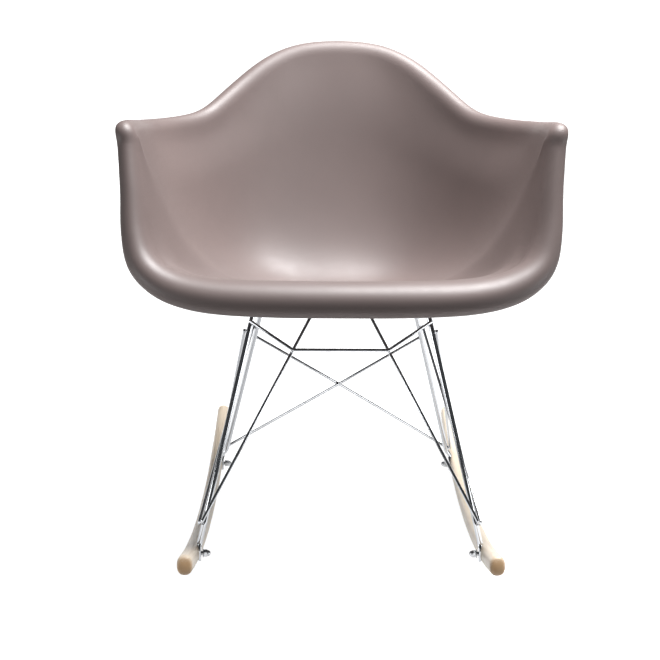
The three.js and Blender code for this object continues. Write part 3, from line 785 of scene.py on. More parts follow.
class Workshop:
    """Finishes pieces: shading, material, body and the CAD nodes, if any, that each replaces."""

    def __init__(self) -> None:
        """Starts with no finish made yet."""
        self.made: dict[object, bpy.types.Material] = {}
        self.count = 0

    def look(self, finish: object) -> bpy.types.Material:
        """The material of a finish, made once.

        Args:
            finish: the finish.

        Returns:
            Its material.
        """
        if finish not in self.made:
            self.made[finish] = finish.material()
        return self.made[finish]

    def dress(self, piece: bpy.types.Object, finish: object, nodes: Sequence[str] = (),
              sharp: float = 35.0) -> bpy.types.Object:
        """Gives a new piece its finish and its place on the frame.

        Args:
            piece: the piece.
            finish: its finish.
            nodes: the CAD nodes that it replaces.
            sharp: edges sharper than this many degrees stay crisp.

        Returns:
            The same piece.
        """
        piece.data.materials.clear()
        piece.data.materials.append(self.look(finish))
        piece.data.shade_smooth()
        piece.data.set_sharp_from_angle(angle=math.radians(sharp))
        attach(piece, BODY)
        if nodes:
            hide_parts(*nodes)
        self.count += 1
        LOG.info("made %s", piece.name)
        return piece

    def paint(self, node: str, finish: object) -> None:
        """Gives a carried-over CAD node a finish, its shape as it is.

        Args:
            node: the node's name.
            finish: its finish.
        """
        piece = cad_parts[node]
        piece.data.materials.clear()
        piece.data.materials.append(self.look(finish))
        LOG.info("painted %s", node)


# ---- Seat shell ----------------------------------------------------------------------------------


@dataclass(frozen=True)
class ShellStation:
    """A line over the shell, from its middle to the rim, as three features.

    wall_top is what the rolled lip is set out from, a little above where the wall runs into it, and knee
    is the corner between seat and wall, both as fractions of half the width, the depth and the rise.
    lip_radius is in millimetres, lip_turn in degrees, and straight is how far down from the wall's top
    the wall stays straight.
    """

    wall_top: tuple[float, float, float]
    knee: tuple[float, float, float]
    lip_radius: float
    lip_turn: float
    straight: float


SHELL_STATIONS = (
    ShellStation((0.000, 0.052, 0.182), (0.000, 0.290, 0.115), 28, 143, 0.45),
    ShellStation((0.320, 0.052, 0.184), (0.235, 0.290, 0.115), 28, 143, 0.45),
    ShellStation((0.580, 0.060, 0.190), (0.435, 0.290, 0.108), 27, 143, 0.45),
    ShellStation((0.728, 0.079, 0.212), (0.580, 0.290, 0.090), 26, 143, 0.43),
    ShellStation((0.818, 0.098, 0.252), (0.655, 0.298, 0.065), 23, 143, 0.42),
    ShellStation((0.869, 0.120, 0.330), (0.688, 0.318, 0.048), 18, 143, 0.44),
    ShellStation((0.900, 0.163, 0.482), (0.702, 0.350, 0.036), 14.5, 143, 0.45),
    ShellStation((0.923, 0.203, 0.630), (0.710, 0.380, 0.031), 13.5, 141, 0.45),
    ShellStation((0.929, 0.213, 0.683), (0.712, 0.400, 0.028), 14, 130, 0.45),
    ShellStation((0.930, 0.255, 0.693), (0.713, 0.425, 0.024), 13.5, 140, 0.45),
    ShellStation((0.925, 0.336, 0.688), (0.713, 0.470, 0.020), 13, 140, 0.45),
    ShellStation((0.905, 0.500, 0.674), (0.700, 0.560, 0.012), 13, 140, 0.45),
    ShellStation((0.812, 0.650, 0.670), (0.630, 0.665, 0.005), 12.5, 140, 0.45),
    ShellStation((0.668, 0.766, 0.692), (0.515, 0.735, -0.010), 13.2, 135, 0.42),
    ShellStation((0.521, 0.854, 0.794), (0.390, 0.765, -0.022), 14, 130, 0.40),
    ShellStation((0.364, 0.920, 0.900), (0.265, 0.780, -0.030), 14, 126, 0.38),
    ShellStation((0.204, 0.959, 0.959), (0.132, 0.785, -0.034), 14, 125, 0.36),
    ShellStation((0.000, 0.969, 0.974), (0.000, 0.785, -0.035), 14, 125, 0.36),
)


SHORTEST_STEP = 1e-4
HEADING_STEP = 1e-4


class Loop:
    """A closed smooth curve through points: centripetal, so that it doesn't overshoot."""

    def __init__(self, points: Sequence[Vector]) -> None:
        """Keeps the points.

        Args:
            points: the points that the curve passes through.
        """
        self.points = list(points)

    def at(self, turn: float) -> Vector:
        """The curve's point at a share of the way round.

        Args:
            turn: 0 at the first point, 1 back at it.

        Returns:
            The point.
        """
        count = len(self.points)
        place = (turn % 1.0) * count
        index = int(place)
        share = place - index
        before, start, end, after = (self.points[(index + k) % count] for k in (-1, 0, 1, 2))
        middle = (end - start).length ** 0.5
        middle = middle if middle > SHORTEST_STEP else 1.0
        first = (start - before).length ** 0.5
        first = first if first > SHORTEST_STEP else middle
        last = (after - end).length ** 0.5
        last = last if last > SHORTEST_STEP else middle
        leave = (start - before) / first - (end - before) / (first + middle) + (end - start) / middle
        arrive = (end - start) / middle - (after - start) / (middle + last) + (after - end) / last
        leave = leave * middle
        arrive = arrive * middle
        square = (end - start) * 3 - leave * 2 - arrive
        cube = (start - end) * 2 + leave + arrive
        return start + leave * share + square * share ** 2 + cube * share ** 3

    def heading(self, turn: float) -> Vector:
        """The curve's direction at a share of the way round."""
        return (self.at(turn + HEADING_STEP) - self.at(turn - HEADING_STEP)).normalized()


def bezier(controls: Sequence[Vector], share: float) -> Vector:
    """A Bezier curve's point.

    Args:
        controls: its control points.
        share: how far along it, 0 to 1.

    Returns:
        The point.
    """
    points = list(controls)
    while len(points) > 1:
        points = [a.lerp(b, share) for a, b in zip(points, points[1:])]
    return points[0]


@dataclass
class SeatShell:
    """The moulded bucket with its rolled lip and the four pads under the seat."""

    width: float = 629.1 * MM
    depth: float = 583 * MM
    rise: float = 392.9 * MM
    front_y: float = -296 * MM
    seat_height: float = 366 * MM
    wall: float = 4.5 * MM
    seat_slope: float = 0.21
    seat_middle: tuple[float, float, float] = (0.0, 0.54, 0.012)
    seat_reach: float = 0.6
    around: int = 408
    wall_rows: int = 46
    lip_rows: int = 30
    lip_tightening: float = 1.8
    lip_lead: float = 0.89
    lip_run: float = 3.22
    fairing_passes: int = 260
    fairing_end: float = 0.80
    lip_fairing: float = 0.055
    pad_radius: float = 15 * MM
    pad_height: float = 10 * MM
    pad_rim: float = 0.8 * MM
    pad_fillet: float = 4 * MM
    pad_sink: float = 0.55
    insert_radius: float = 5.3 * MM
    insert_depth: float = 9.3 * MM
    finish: MouldedPlastic = field(default_factory=MouldedPlastic)

    def place(self, fractions: Sequence[float]) -> Vector:
        """A point of the shell.

        Args:
            fractions: of half the width, the depth and the rise.

        Returns:
            The point.
        """
        across, along, up = fractions
        return Vector((across * self.width / 2, self.front_y + along * self.depth,
                       self.seat_height + up * self.rise))

    def loop(self, feature: Callable[[ShellStation], Vector], flip: bool) -> Loop:
        """A closed curve through one feature of all stations, and of their mirror images.

        Args:
            feature: what is taken from a station.
            flip: whether x changes sign on the other side.

        Returns:
            The curve.
        """
        one_side = [feature(station) for station in SHELL_STATIONS]
        sign = -1 if flip else 1
        other_side = [Vector((sign * p.x, p.y, p.z)) for p in reversed(one_side[1:-1])]
        return Loop(one_side + other_side)

    def lip_profile(self, degrees: float) -> list[tuple[float, float]]:
        """The lip's profile in multiples of its radius: it curls in gently and tightens to its rim.

        Args:
            degrees: how far it turns.

        Returns:
            Pairs of height above the wall's top and distance outwards.
        """
        slices = 8
        points = [(-self.lip_lead, 0.0)]
        for index in range(self.lip_rows * slices):
            share = (index + 0.5) / (self.lip_rows * slices)
            angle = math.radians(degrees) * share ** self.lip_tightening
            step = self.lip_run / (self.lip_rows * slices)
            up, out = points[-1]
            points.append((up + step * math.cos(angle), out + step * math.sin(angle)))
        return points[::slices]

    def lines(self) -> list[list[Vector]]:
        """Lines over the upper surface, each from the seat's middle up the wall and round the lip.

        Returns:
            The lines, in order round the shell.
        """
        tops = self.loop(lambda station: self.place(station.wall_top), True)
        knees = self.loop(lambda station: self.place(station.knee), True)
        lips = self.loop(lambda s: Vector((s.lip_radius, s.lip_turn, s.straight)), False)
        middle = self.place(self.seat_middle)
        walls, curls = [], []
        for i in range(self.around):
            turn = i / self.around
            top, knee = tops.at(turn), knees.at(turn)
            radius, degrees, straight = lips.at(turn)
            on_seat = middle.lerp(knee, self.seat_reach)
            on_seat.z = middle.z - self.seat_slope * (on_seat.y - middle.y)
            on_wall = top.lerp(knee, straight)
            edge = tops.heading(turn)
            rise = top - on_wall
            rise = (rise - edge * rise.dot(edge)).normalized()
            outward = edge.cross(rise)
            curl = [top + (rise * up + outward * out) * radius * MM
                    for up, out in self.lip_profile(degrees)]
            controls = [middle, on_seat, knee, on_wall, curl[0]]
            walls.append([bezier(controls, row / self.wall_rows) for row in range(self.wall_rows)])
            curls.append(curl)
        return self.faired([wall + curl for wall, curl in zip(walls, curls)])

    def faired(self, lines: list[list[Vector]]) -> list[list[Vector]]:
        """Evens out neighbouring lines: well on the wall, only a little over the lip.

        Args:
            lines: lines over the wall and the lip.

        Returns:
            The evened lines.
        """
        grid = numpy.array([[tuple(point) for point in line] for line in lines])
        share = numpy.arange(grid.shape[1]) / self.wall_rows
        fade = numpy.clip((1 - share) / (1 - self.fairing_end), 0, 1)
        weight = numpy.maximum(fade * fade * (3 - 2 * fade), self.lip_fairing)[None, :, None]
        for _ in range(self.fairing_passes):
            even = (numpy.roll(grid, 1, axis=0) + numpy.roll(grid, -1, axis=0) + 2 * grid) / 4
            grid = grid + weight * (even - grid)
        return [[Vector(point) for point in line] for line in grid]

    def skin(self) -> bmesh.types.BMesh:
        """The upper and lower surfaces and the rounded rim between them.

        Returns:
            The mesh.
        """
        lines = self.lines()
        last = self.wall_rows + self.lip_rows
        rim_angles = [math.radians(a) for a in (45, 90, 135)]
        mesh = bmesh.new()
        down = Vector((0.0, -self.seat_slope, -1.0)).normalized()
        middles = [mesh.verts.new(lines[0][0]), mesh.verts.new(lines[0][0] + down * self.wall)]
        rows = []
        for i, line in enumerate(lines):
            before, after = lines[i - 1], lines[(i + 1) % self.around]
            upper, lower = [], []
            for row in range(1, last + 1):
                along = line[min(row + 1, last)] - line[row - 1]
                across = after[row] - before[row]
                away = across.cross(along).normalized() * self.wall
                upper.append(line[row])
                lower.append(line[row] + away)
            out = (line[last] - line[last - 1]).normalized()
            centre = (upper[-1] + lower[-1]) / 2
            towards = upper[-1] - centre
            rim = [centre + towards * math.cos(a) + out * towards.length * math.sin(a) for a in rim_angles]
            rows.append([mesh.verts.new(point) for point in upper + rim + lower[::-1]])
        for i in range(self.around):
            row, next_row = rows[i], rows[(i + 1) % self.around]
            for k in range(len(row) - 1):
                mesh.faces.new((row[k], row[k + 1], next_row[k + 1], next_row[k]))
            mesh.faces.new((middles[0], row[0], next_row[0]))
            mesh.faces.new((middles[1], next_row[-1], row[-1]))
        bmesh.ops.recalc_face_normals(mesh, faces=mesh.faces)
        return mesh

    def pad(self, mounts: "MountSet", end: End, side: Side) -> bpy.types.Object:
        """One pad under the seat, with a fillet where it meets the shell.

        Args:
            mounts: gives the pads' places and tilt.
            end: front or rear.
            side: left or right.

        Returns:
            The pad, not joined yet.
        """
        sunk = self.pad_height + self.pad_sink * self.wall
        root = self.pad_height - 3.5 * MM
        profile = rounded(self.pad_radius, 0.0, 2 * root, self.pad_rim)[:6]
        for degrees in (0, 20, 40, 60, 80):
            angle = math.radians(degrees)
            profile.append((self.pad_radius + self.pad_fillet * (1 - math.cos(angle)),
                            root + self.pad_fillet * math.sin(angle)))
        profile += [(self.pad_radius + self.pad_fillet, sunk), (0.0, sunk)]
        pad = loose_object("pad", turned(profile, 48))
        bore = loose_object("bore", turned(rounded(self.insert_radius, -1 * MM, self.insert_depth, 0.3 * MM)))
        combine(pad, [bore], "DIFFERENCE")
        pad.data.transform(mounts.turn(end, side))
        return pad

    def build(self, workshop: Workshop, mounts: "MountSet") -> None:
        """Makes the shell and joins its pads.

        Args:
            workshop: finishes the piece.
            mounts: gives the pads' places.
        """
        shell = loose_object("moulded_shell", self.skin())
        combine(shell, [self.pad(mounts, end, side) for end, side in CORNERS], "UNION")
        workshop.dress(shell, self.finish, ["seat_shell"], sharp=50.0)


# ---- Mounts under the seat -------------------------------------------------------------------------


@dataclass
class MountSet:
    """The four mounts between shell and cradle: rubber, plate and screw, tilted with the seat."""

    gap: float = 0.3 * MM
    rubber_radius: float = 15 * MM
    rubber_height: float = 10 * MM
    plate_thickness: float = 3 * MM
    plate_width: float = 30 * MM
    bar_reach: float = 24 * MM
    hole_radius: float = 3.3 * MM
    screw_radius: float = 3 * MM
    head_radius: float = 5.5 * MM
    head_height: float = 3.3 * MM
    thread_reach: float = 8 * MM
    socket: float = 2.3 * MM
    socket_depth: float = 1.9 * MM
    head_round: float = 1.6 * MM
    thread_pitch: float = 1 * MM
    thread_depth: float = 0.35 * MM
    waist: float = 1.1 * MM
    rim_round: float = 0.7 * MM
    rim_share: float = 0.14
    rubber: BlackRubber = field(default_factory=BlackRubber)
    steel: ZincSteel = field(default_factory=ZincSteel)
    brass: Brass = field(default_factory=Brass)

    def centre(self, end: End, side: Side) -> Vector:
        """Middle of a mount's rubber, from the frame.

        Args:
            end: front or rear.
            side: left or right.

        Returns:
            The point.
        """
        low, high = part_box(f"rubber_mount_{end.word}_{side.word}")
        return (Vector(low) + Vector(high)) / 2

    def turn(self, end: End, side: Side) -> Matrix:
        """Moves a piece made about +Z, with z = 0 on the pad's face, to its mount.

        Args:
            end: front or rear.
            side: left or right.

        Returns:
            The matrix.
        """
        back = self.centre(End.REAR, Side.LEFT) - self.centre(End.FRONT, Side.LEFT)
        back = Vector((0.0, back.y, back.z)).normalized()
        up = X_AXIS.cross(back)
        face = self.centre(end, side) + up * (self.rubber_height / 2 + self.gap)
        return Matrix.Translation(face) @ Matrix((X_AXIS, back, up)).transposed().to_4x4()

    @property
    def plate_top(self) -> float:
        """Height of a plate's upper face below the pad's face."""
        return -self.rubber_height - 2 * self.gap

    def rubber_piece(self) -> bmesh.types.BMesh:
        """A rubber buffer with a shallow waist.

        Returns:
            The mesh.
        """
        top, height, radius = -self.gap, self.rubber_height, self.rubber_radius
        outer = []
        for step in range(13):
            share = step / 12
            waist = self.waist * math.sin(math.pi * share) ** 2
            rim = self.rim_round * max(0.0, abs(share - 0.5) * 2 - (1 - self.rim_share)) / self.rim_share
            outer.append((radius - waist - rim, top - height + share * height))
        inner = [(self.hole_radius, top), (self.hole_radius, top - height)]
        return turned(outer + inner + outer[:1], 64)

    def plate_piece(self, end: End) -> bpy.types.Object:
        """A D-shaped plate with its straight edge at the bar.

        Args:
            end: front or rear.

        Returns:
            The plate, not dressed yet.
        """
        half = self.plate_width / 2
        low, high = self.plate_top - self.plate_thickness, self.plate_top
        outline = [(half, self.bar_reach), (-half, self.bar_reach)]
        outline += [(half * math.cos(a), half * math.sin(a))
                    for a in (math.pi + math.pi * k / 24 for k in range(25))]
        rings = [[Vector((end.value * -x, end.value * y, z)) for x, y in outline] for z in (low, high)]
        plate = loose_object("plate", loft(rings))
        hole = loose_object("hole", turned(rounded(self.hole_radius, low - MM, high + MM, 0.1 * MM)))
        combine(plate, [hole], "DIFFERENCE")
        soften(plate, 0.45 * MM, 3)
        return plate

    def screw_piece(self) -> bmesh.types.BMesh:
        """A pan-head screw with its socket facing down, and a thread drawn as fine rings.

        Returns:
            The mesh.
        """
        top = self.plate_top - self.plate_thickness - self.gap
        bottom = top - self.head_height
        floor = bottom + self.socket_depth
        socket = [(0.0, floor), (self.socket, floor), (self.socket, bottom + 0.2 * MM)]
        outer = [(self.socket + 0.2 * MM, bottom)]
        for step in range(7):
            angle = math.radians(90 * step / 6)
            outer.append((self.head_radius - self.head_round * (1 - math.sin(angle)),
                          bottom + self.head_round * (1 - math.cos(angle))))
        outer += [(self.head_radius, top), (self.screw_radius, top)]
        z = top + 2 * MM
        while z < self.thread_reach - self.thread_pitch:
            outer += [(self.screw_radius, z),
                      (self.screw_radius - self.thread_depth, z + self.thread_pitch / 2)]
            z += self.thread_pitch
        outer += [(self.screw_radius - 0.5 * MM, self.thread_reach), (0.0, self.thread_reach)]
        return turned(socket + outer, 48)

    def build(self, workshop: Workshop) -> None:
        """Makes all four mounts.

        Args:
            workshop: finishes the pieces.
        """
        for end, side in CORNERS:
            where = f"{end.word}_{side.word}"
            turn = self.turn(end, side)
            for name, piece, finish in (
                ("rubber_mount", loose_object(f"buffer_{where}", self.rubber_piece()), self.rubber),
                ("mount_plate", self.plate_piece(end), self.steel),
                ("mount_screw", loose_object(f"seat_screw_{where}", self.screw_piece()), self.steel),
            ):
                piece.name = f"fine_{name}_{where}"
                piece.data.transform(turn)
                workshop.dress(piece, finish, [f"{name}_{where}"])
            workshop.paint(f"threaded_insert_{where}", self.brass)


def hexagon_limit(flat: float) -> Callable[[float], float]:
    """Radius of a hexagon at an angle.

    Args:
        flat: distance from the middle to a flat.

    Returns:
        The radius as a function of the angle.
    """
    def limit(angle: float) -> float:
        """The radius at an angle."""
        return flat / math.cos((angle % (math.pi / 3)) - math.pi / 6)
    return limit


# ---- Rockers ---------------------------------------------------------------------------------------


@dataclass
class Rockers:
    """The two bent wooden rockers, with the counterbores for their bolts."""

    arc: float = 1330 * MM
    width: float = 22 * MM
    height: float = 28 * MM
    length: float = 746 * MM
    rest_y: float = -8 * MM
    rest_flat: float = 60 * MM
    end_round: float = 9 * MM
    end_turn: float = 68.0
    end_taper: float = 0.55
    end_rings: int = 10
    straight_rings: int = 28
    squareness: float = 2.4
    spacing: float = 426 * MM
    bolt_hole: float = 3.3 * MM
    counterbore: float = 6.8 * MM
    counterbore_depth: float = 5.5 * MM
    finish: LacqueredMaple = field(default_factory=LacqueredMaple)

    def station(self, y: float) -> Station:
        """The middle of a rocker at a place along the chair.

        Args:
            y: the place.

        Returns:
            The station, with no section yet.
        """
        level = (self.arc + self.height / 2) * math.cos(math.asin(self.rest_flat / 2 / self.arc))
        angle = math.asin((y - self.rest_y) / self.arc)
        return Station(Vector((0.0, y, level - self.arc * math.cos(angle))),
                       Vector((0.0, math.cos(angle), math.sin(angle))))

    def stations(self) -> list[Station]:
        """Stations from end to end: domed ends, and a level flat in the middle.

        Returns:
            The stations.
        """
        end = self.length / 2 - self.end_round
        marks = []
        for step in range(self.end_rings, 0, -1):
            angle = math.radians(self.end_turn * step / self.end_rings)
            marks.append((-end - self.end_round * math.sin(angle), 1 - self.end_taper * (1 - math.cos(angle))))
        half_flat = self.rest_flat / 2
        for start, stop in ((-end, self.rest_y - half_flat), (self.rest_y + half_flat, end)):
            marks += [(start + (stop - start) * k / self.straight_rings, 1.0)
                      for k in range(self.straight_rings + 1)]
        marks += [(-y, scale) for y, scale in reversed(marks[:self.end_rings])]
        stations = []
        for y, scale in marks:
            station = self.station(y)
            station.half_a = scale * self.width / 2
            station.half_b = scale * self.height / 2
            station.exponent = self.squareness
            stations.append(station)
        return stations

    def build(self, workshop: Workshop, feet: "dict[End, Vector]") -> None:
        """Makes both rockers and bores them.

        Args:
            workshop: finishes the pieces.
            feet: the bolts' places at each end, at x = 0.
        """
        half = self.width / 2
        for side in Side:
            rocker = loose_object(f"bent_rocker_{side.word}", sweep(self.stations(), X_AXIS, 40))
            rocker.data.transform(Matrix.Translation(side.place(X_AXIS * self.spacing / 2)))
            seat = self.spacing / 2 + half - self.counterbore_depth
            tools = []
            for foot in feet.values():
                for radius, low, high in (
                    (self.bolt_hole, self.spacing / 2 - half - 5 * MM, seat + 1 * MM),
                    (self.counterbore, seat, seat + 15 * MM),
                ):
                    tool = loose_object("drill", turned(rounded(radius, low, high, 0.05 * MM, 1), 48))
                    tool.data.transform(along_bolt(foot, side))
                    tools.append(tool)
            combine(rocker, tools, "DIFFERENCE")
            soften(rocker, 0.35 * MM, 2, 55.0)
            workshop.dress(rocker, self.finish, [f"rocker_{side.word}"], sharp=40.0)


def along_bolt(foot: Vector, side: Side) -> Matrix:
    """Turns a piece made about +Z so that its axis points outwards through a rocker."""
    return Matrix.Translation((0.0, foot.y, foot.z)) @ Matrix.Rotation(side.value * math.pi / 2, 4, "Y")


# ---- Fasteners at the rockers ------------------------------------------------------------------------


@dataclass
class RockerBolts:
    """Bolt, two washers and a domed cap nut at each foot."""

    gap: float = 0.3 * MM
    washer_radius: float = 6.5 * MM
    washer_hole: float = 3.3 * MM
    bolt_radius: float = 3 * MM
    head_radius: float = 5.5 * MM
    head_height: float = 3.5 * MM
    socket: float = 2.0 * MM
    crown_from: float = 12.0
    crown_turn: float = 60.0
    rim_height: float = 0.5 * MM
    nut_flat: float = 5 * MM
    nut_hex: float = 5 * MM
    nut_dome: float = 4.8 * MM
    steel: ZincSteel = field(default_factory=ZincSteel)

    def reach(self, node: str) -> tuple[float, float]:
        """Where a CAD node starts and ends, measured outwards from the chair's middle plane.

        Args:
            node: the node's name.

        Returns:
            Its inner and outer distance.
        """
        low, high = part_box(node)
        ends = sorted((abs(low[0]), abs(high[0])))
        return ends[0], ends[1]

    def washer(self, node: str) -> bmesh.types.BMesh:
        """A washer with rolled rims.

        Args:
            node: the CAD node that it replaces.

        Returns:
            The mesh.
        """
        low, high = self.reach(node)
        return turned(rounded_ring(self.washer_radius, self.washer_hole, low, high, 0.35 * MM), 64)

    def bolt(self, node: str) -> bmesh.types.BMesh:
        """A button-head bolt with a socket.

        Args:
            node: the CAD node that it replaces.

        Returns:
            The mesh.
        """
        low, high = self.reach(node)
        face = high - self.head_height
        profile = [(0.0, low), (self.bolt_radius - 0.4 * MM, low), (self.bolt_radius, low + 0.4 * MM),
                   (self.bolt_radius, face), (self.head_radius - 0.2 * MM, face),
                   (self.head_radius, face + 0.2 * MM)]
        start = math.radians(self.crown_from)
        whole = math.sin(math.radians(self.crown_from + self.crown_turn)) - math.sin(start)
        for step in range(9):
            angle = math.radians(self.crown_from + self.crown_turn * step / 8)
            share = (math.sin(angle) - math.sin(start)) / whole
            profile.append((self.head_radius * math.cos(angle) / math.cos(start),
                            face + self.rim_height + (self.head_height - self.rim_height) * share))
        profile += [(self.socket + 0.1 * MM, high), (self.socket, high - 0.15 * MM),
                    (self.socket, high - 1.8 * MM), (0.0, high - 2.2 * MM)]
        return turned(profile, 48)

    def cap_nut(self, node: str) -> bpy.types.Object:
        """A domed cap nut: chamfered hexagon and dome, dome towards the chair's middle.

        Args:
            node: the CAD node that it replaces.

        Returns:
            The nut, not dressed yet.
        """
        low, high = self.reach(node)
        corner = self.nut_flat / math.cos(math.pi / 6)
        hex_low = high - self.nut_hex
        profile = [(0.0, high), (self.nut_flat - 0.15 * MM, high), (corner, high - 0.75 * MM),
                   (corner, hex_low + 0.75 * MM), (self.nut_flat - 0.1 * MM, hex_low)]
        mesh = turned(profile + [(0.0, hex_low)], 72, hexagon_limit(self.nut_flat))
        nut = loose_object("cap_nut", mesh)
        dome_radius = self.nut_flat - 0.35 * MM
        dome = [(0.0, hex_low + MM), (dome_radius, hex_low + MM)]
        for step in range(15):
            angle = math.radians(90 * step / 14)
            dome.append((dome_radius * math.cos(angle), hex_low - self.nut_dome * math.sin(angle)))
        dome[-1] = (0.0, low)
        combine(nut, [loose_object("dome", turned(dome, 72))], "UNION")
        bore = loose_object("bore", turned(rounded(self.washer_hole, hex_low, high + MM, 0.1 * MM, 1), 48))
        combine(nut, [bore], "DIFFERENCE")
        soften(nut, 0.22 * MM, 2, 24.0)
        return nut

    def build(self, workshop: Workshop, feet: "dict[End, Vector]") -> None:
        """Makes the fasteners of all four feet.

        Args:
            workshop: finishes the pieces.
            feet: the bolts' places at each end, at x = 0.
        """
        for end, side in CORNERS:
            where = f"{end.word}_{side.word}"
            placed = along_bolt(feet[end], side)
            for node, piece in (
                (f"head_washer_{where}", loose_object("w", self.washer(f"head_washer_{where}"))),
                (f"nut_washer_{where}", loose_object("w", self.washer(f"nut_washer_{where}"))),
                (f"rocker_bolt_{where}", loose_object("b", self.bolt(f"rocker_bolt_{where}"))),
                (f"dome_nut_{where}", self.cap_nut(f"dome_nut_{where}")),
            ):
                piece.name = f"fine_{node}"
                piece.data.transform(placed)
                workshop.dress(piece, self.steel, [node], sharp=28.0)


# ---- Wire cradle -------------------------------------------------------------------------------------


@dataclass
class HoopFrame:
    """The corners of one hoop's left half, in the chair's frame."""

    end: End
    foot: Vector
    tab_top: Vector
    tab_end: Vector
    kink: Vector
    corner: Vector

    def leg_point(self, drop: float) -> Vector:
        """Middle of the left leg at a height below the top bar."""
        return self.corner.lerp(self.kink, drop / (self.corner.z - self.kink.z))

    def down(self) -> Vector:
        """The way down the middle of the hoop, in its plane."""
        way = self.kink - self.corner
        return Vector((0.0, way.y, way.z)).normalized()

    def out(self) -> Vector:
        """Square to the hoop's plane, away from the other hoop."""
        out = self.down().cross(X_AXIS).normalized()
        return out if out.y * self.end.value > 0 else -out


def beyond(start: Vector, end: Vector, length: float) -> Vector:
    """A point a little past the end of a line."""
    return end + (end - start).normalized() * length


@dataclass
class Cradle:
    """The plated cradle: two hoops of rod, the brace, four cradle wires and their welds."""

    workshop: Workshop
    rod: float = 4 * MM
    wire: float = 2.4 * MM
    gap: float = 0.3 * MM
    half_span: float = 124 * MM
    hoop_bend: float = 18 * MM
    tab_thickness: float = 4 * MM
    tab_width: float = 16 * MM
    tab_below: float = 11 * MM
    tab_above: float = 15 * MM
    kink_height: dict = field(default_factory=lambda: {End.FRONT: 46 * MM, End.REAR: 27 * MM})
    kink_inset: float = 7 * MM
    brace_drop: float = 24 * MM
    brace_dip: float = 39 * MM
    brace_half_flat: float = 69 * MM
    brace_bend: float = 10 * MM
    arm_weld_drop: float = 38 * MM
    cross_weld_drop: float = 58 * MM
    weld_tip: float = 3.5 * MM
    hairpin_bend: float = 7 * MM
    hairpin_across: dict = field(default_factory=lambda: {End.FRONT: 10.07 * MM, End.REAR: 9.8 * MM})
    hairpin_out: dict = field(default_factory=lambda: {End.FRONT: 8.6 * MM, End.REAR: 8.5 * MM})
    hairpin_down: dict = field(default_factory=lambda: {End.FRONT: 11.4 * MM, End.REAR: 9 * MM})
    bow_bend: float = 300 * MM
    bolt_hole: float = 3.3 * MM
    press_above: float = 2 * MM
    press_below: float = 9 * MM
    tab_round: float = 6 * MM
    tab_end_share: float = 0.42
    tab_squareness: float = 5.0
    bead_half_width: float = 2.5 * MM
    bead_half_depth: float = 2.0 * MM
    bead_ripple: float = 0.07
    bead_length: float = 9 * MM
    cross_bead_length: float = 7 * MM
    finish: BrightPlating = field(default_factory=BrightPlating)

    def hoop_frame(self, end: End) -> HoopFrame:
        """Finds a hoop's corners from its box in the frame.

        Args:
            end: front or rear.

        Returns:
            The corners.
        """
        low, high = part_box(f"{end.word}_hoop")
        bar_y, foot_y = (high[1] - self.rod, low[1] + self.tab_width / 2)
        if end is End.REAR:
            bar_y, foot_y = (low[1] + self.rod, high[1] - self.tab_width / 2)
        tab_x = high[0] - self.tab_thickness / 2
        foot_z = low[2] + self.tab_below
        return HoopFrame(
            end=end,
            foot=Vector((0.0, foot_y, foot_z)),
            tab_top=Vector((tab_x, foot_y, foot_z + self.tab_above)),
            tab_end=Vector((tab_x, foot_y, low[2])),
            kink=Vector((tab_x - self.kink_inset, foot_y, foot_z + self.kink_height[end])),
            corner=Vector((self.half_span, bar_y, high[2] - self.rod)),
        )

    def hoop(self, hoop: HoopFrame) -> bpy.types.Object:
        """One hoop: round rod, pressed flat and rounded off at its feet, with bolt holes.

        Args:
            hoop: the hoop's corners.

        Returns:
            The hoop, not dressed yet.
        """
        flip = Side.RIGHT.place
        corners = [hoop.tab_top, hoop.kink, hoop.corner, flip(hoop.corner), flip(hoop.kink), flip(hoop.tab_top)]
        stations = bent_path(corners, [self.hoop_bend] * 4, 14)
        for station in stations:
            station.half_a = station.half_b = self.rod
        foot = self.tab_stations(hoop)
        other = [Station(flip(s.point), Vector((0, 0, -1)), s.half_a, s.half_b, s.exponent) for s in foot]
        whole = foot + stations[1:-1] + other[::-1]
        piece = loose_object(f"{hoop.end.word}_rod_hoop", sweep(whole, Y_AXIS, 36))
        drills = []
        for side in Side:
            profile = rounded(self.bolt_hole, hoop.tab_top.x - 10 * MM, hoop.tab_top.x + 10 * MM, 0.1 * MM, 1)
            tool = loose_object("drill", turned(profile, 40))
            tool.data.transform(along_bolt(hoop.foot, side))
            drills.append(tool)
        combine(piece, drills, "DIFFERENCE")
        return piece

    def tab_stations(self, hoop: HoopFrame) -> list[Station]:
        """A pressed foot: a rounded end, a flat, and a smooth change back to round rod.

        Args:
            hoop: the hoop's corners.

        Returns:
            Stations from the foot's end upwards.
        """
        bottom, top = hoop.tab_end.z, hoop.tab_top.z
        half = self.tab_width / 2
        press_from, press_to = top - self.press_below, top + self.press_above
        stations = []
        for step in range(9):
            angle = math.radians(90 * step / 8)
            z = bottom + self.tab_round * (1 - math.cos(angle))
            width = half * (self.tab_end_share + (1 - self.tab_end_share) * math.sin(angle))
            point = Vector((hoop.tab_end.x, hoop.tab_end.y, z))
            stations.append(Station(point, Z_AXIS.copy(), width, self.tab_thickness / 2,
                                    self.tab_squareness))
        for step in range(11):
            share = step / 10
            eased = share * share * (3 - 2 * share)
            z = press_from + (press_to - press_from) * share
            point = Vector((hoop.tab_end.x, hoop.tab_end.y, z))
            half_a = half + (self.rod - half) * eased
            half_b = self.tab_thickness / 2 + (self.rod - self.tab_thickness / 2) * eased
            exponent = self.tab_squareness + (2.0 - self.tab_squareness) * eased
            stations.append(Station(point, Z_AXIS.copy(), half_a, half_b, exponent))
        return stations

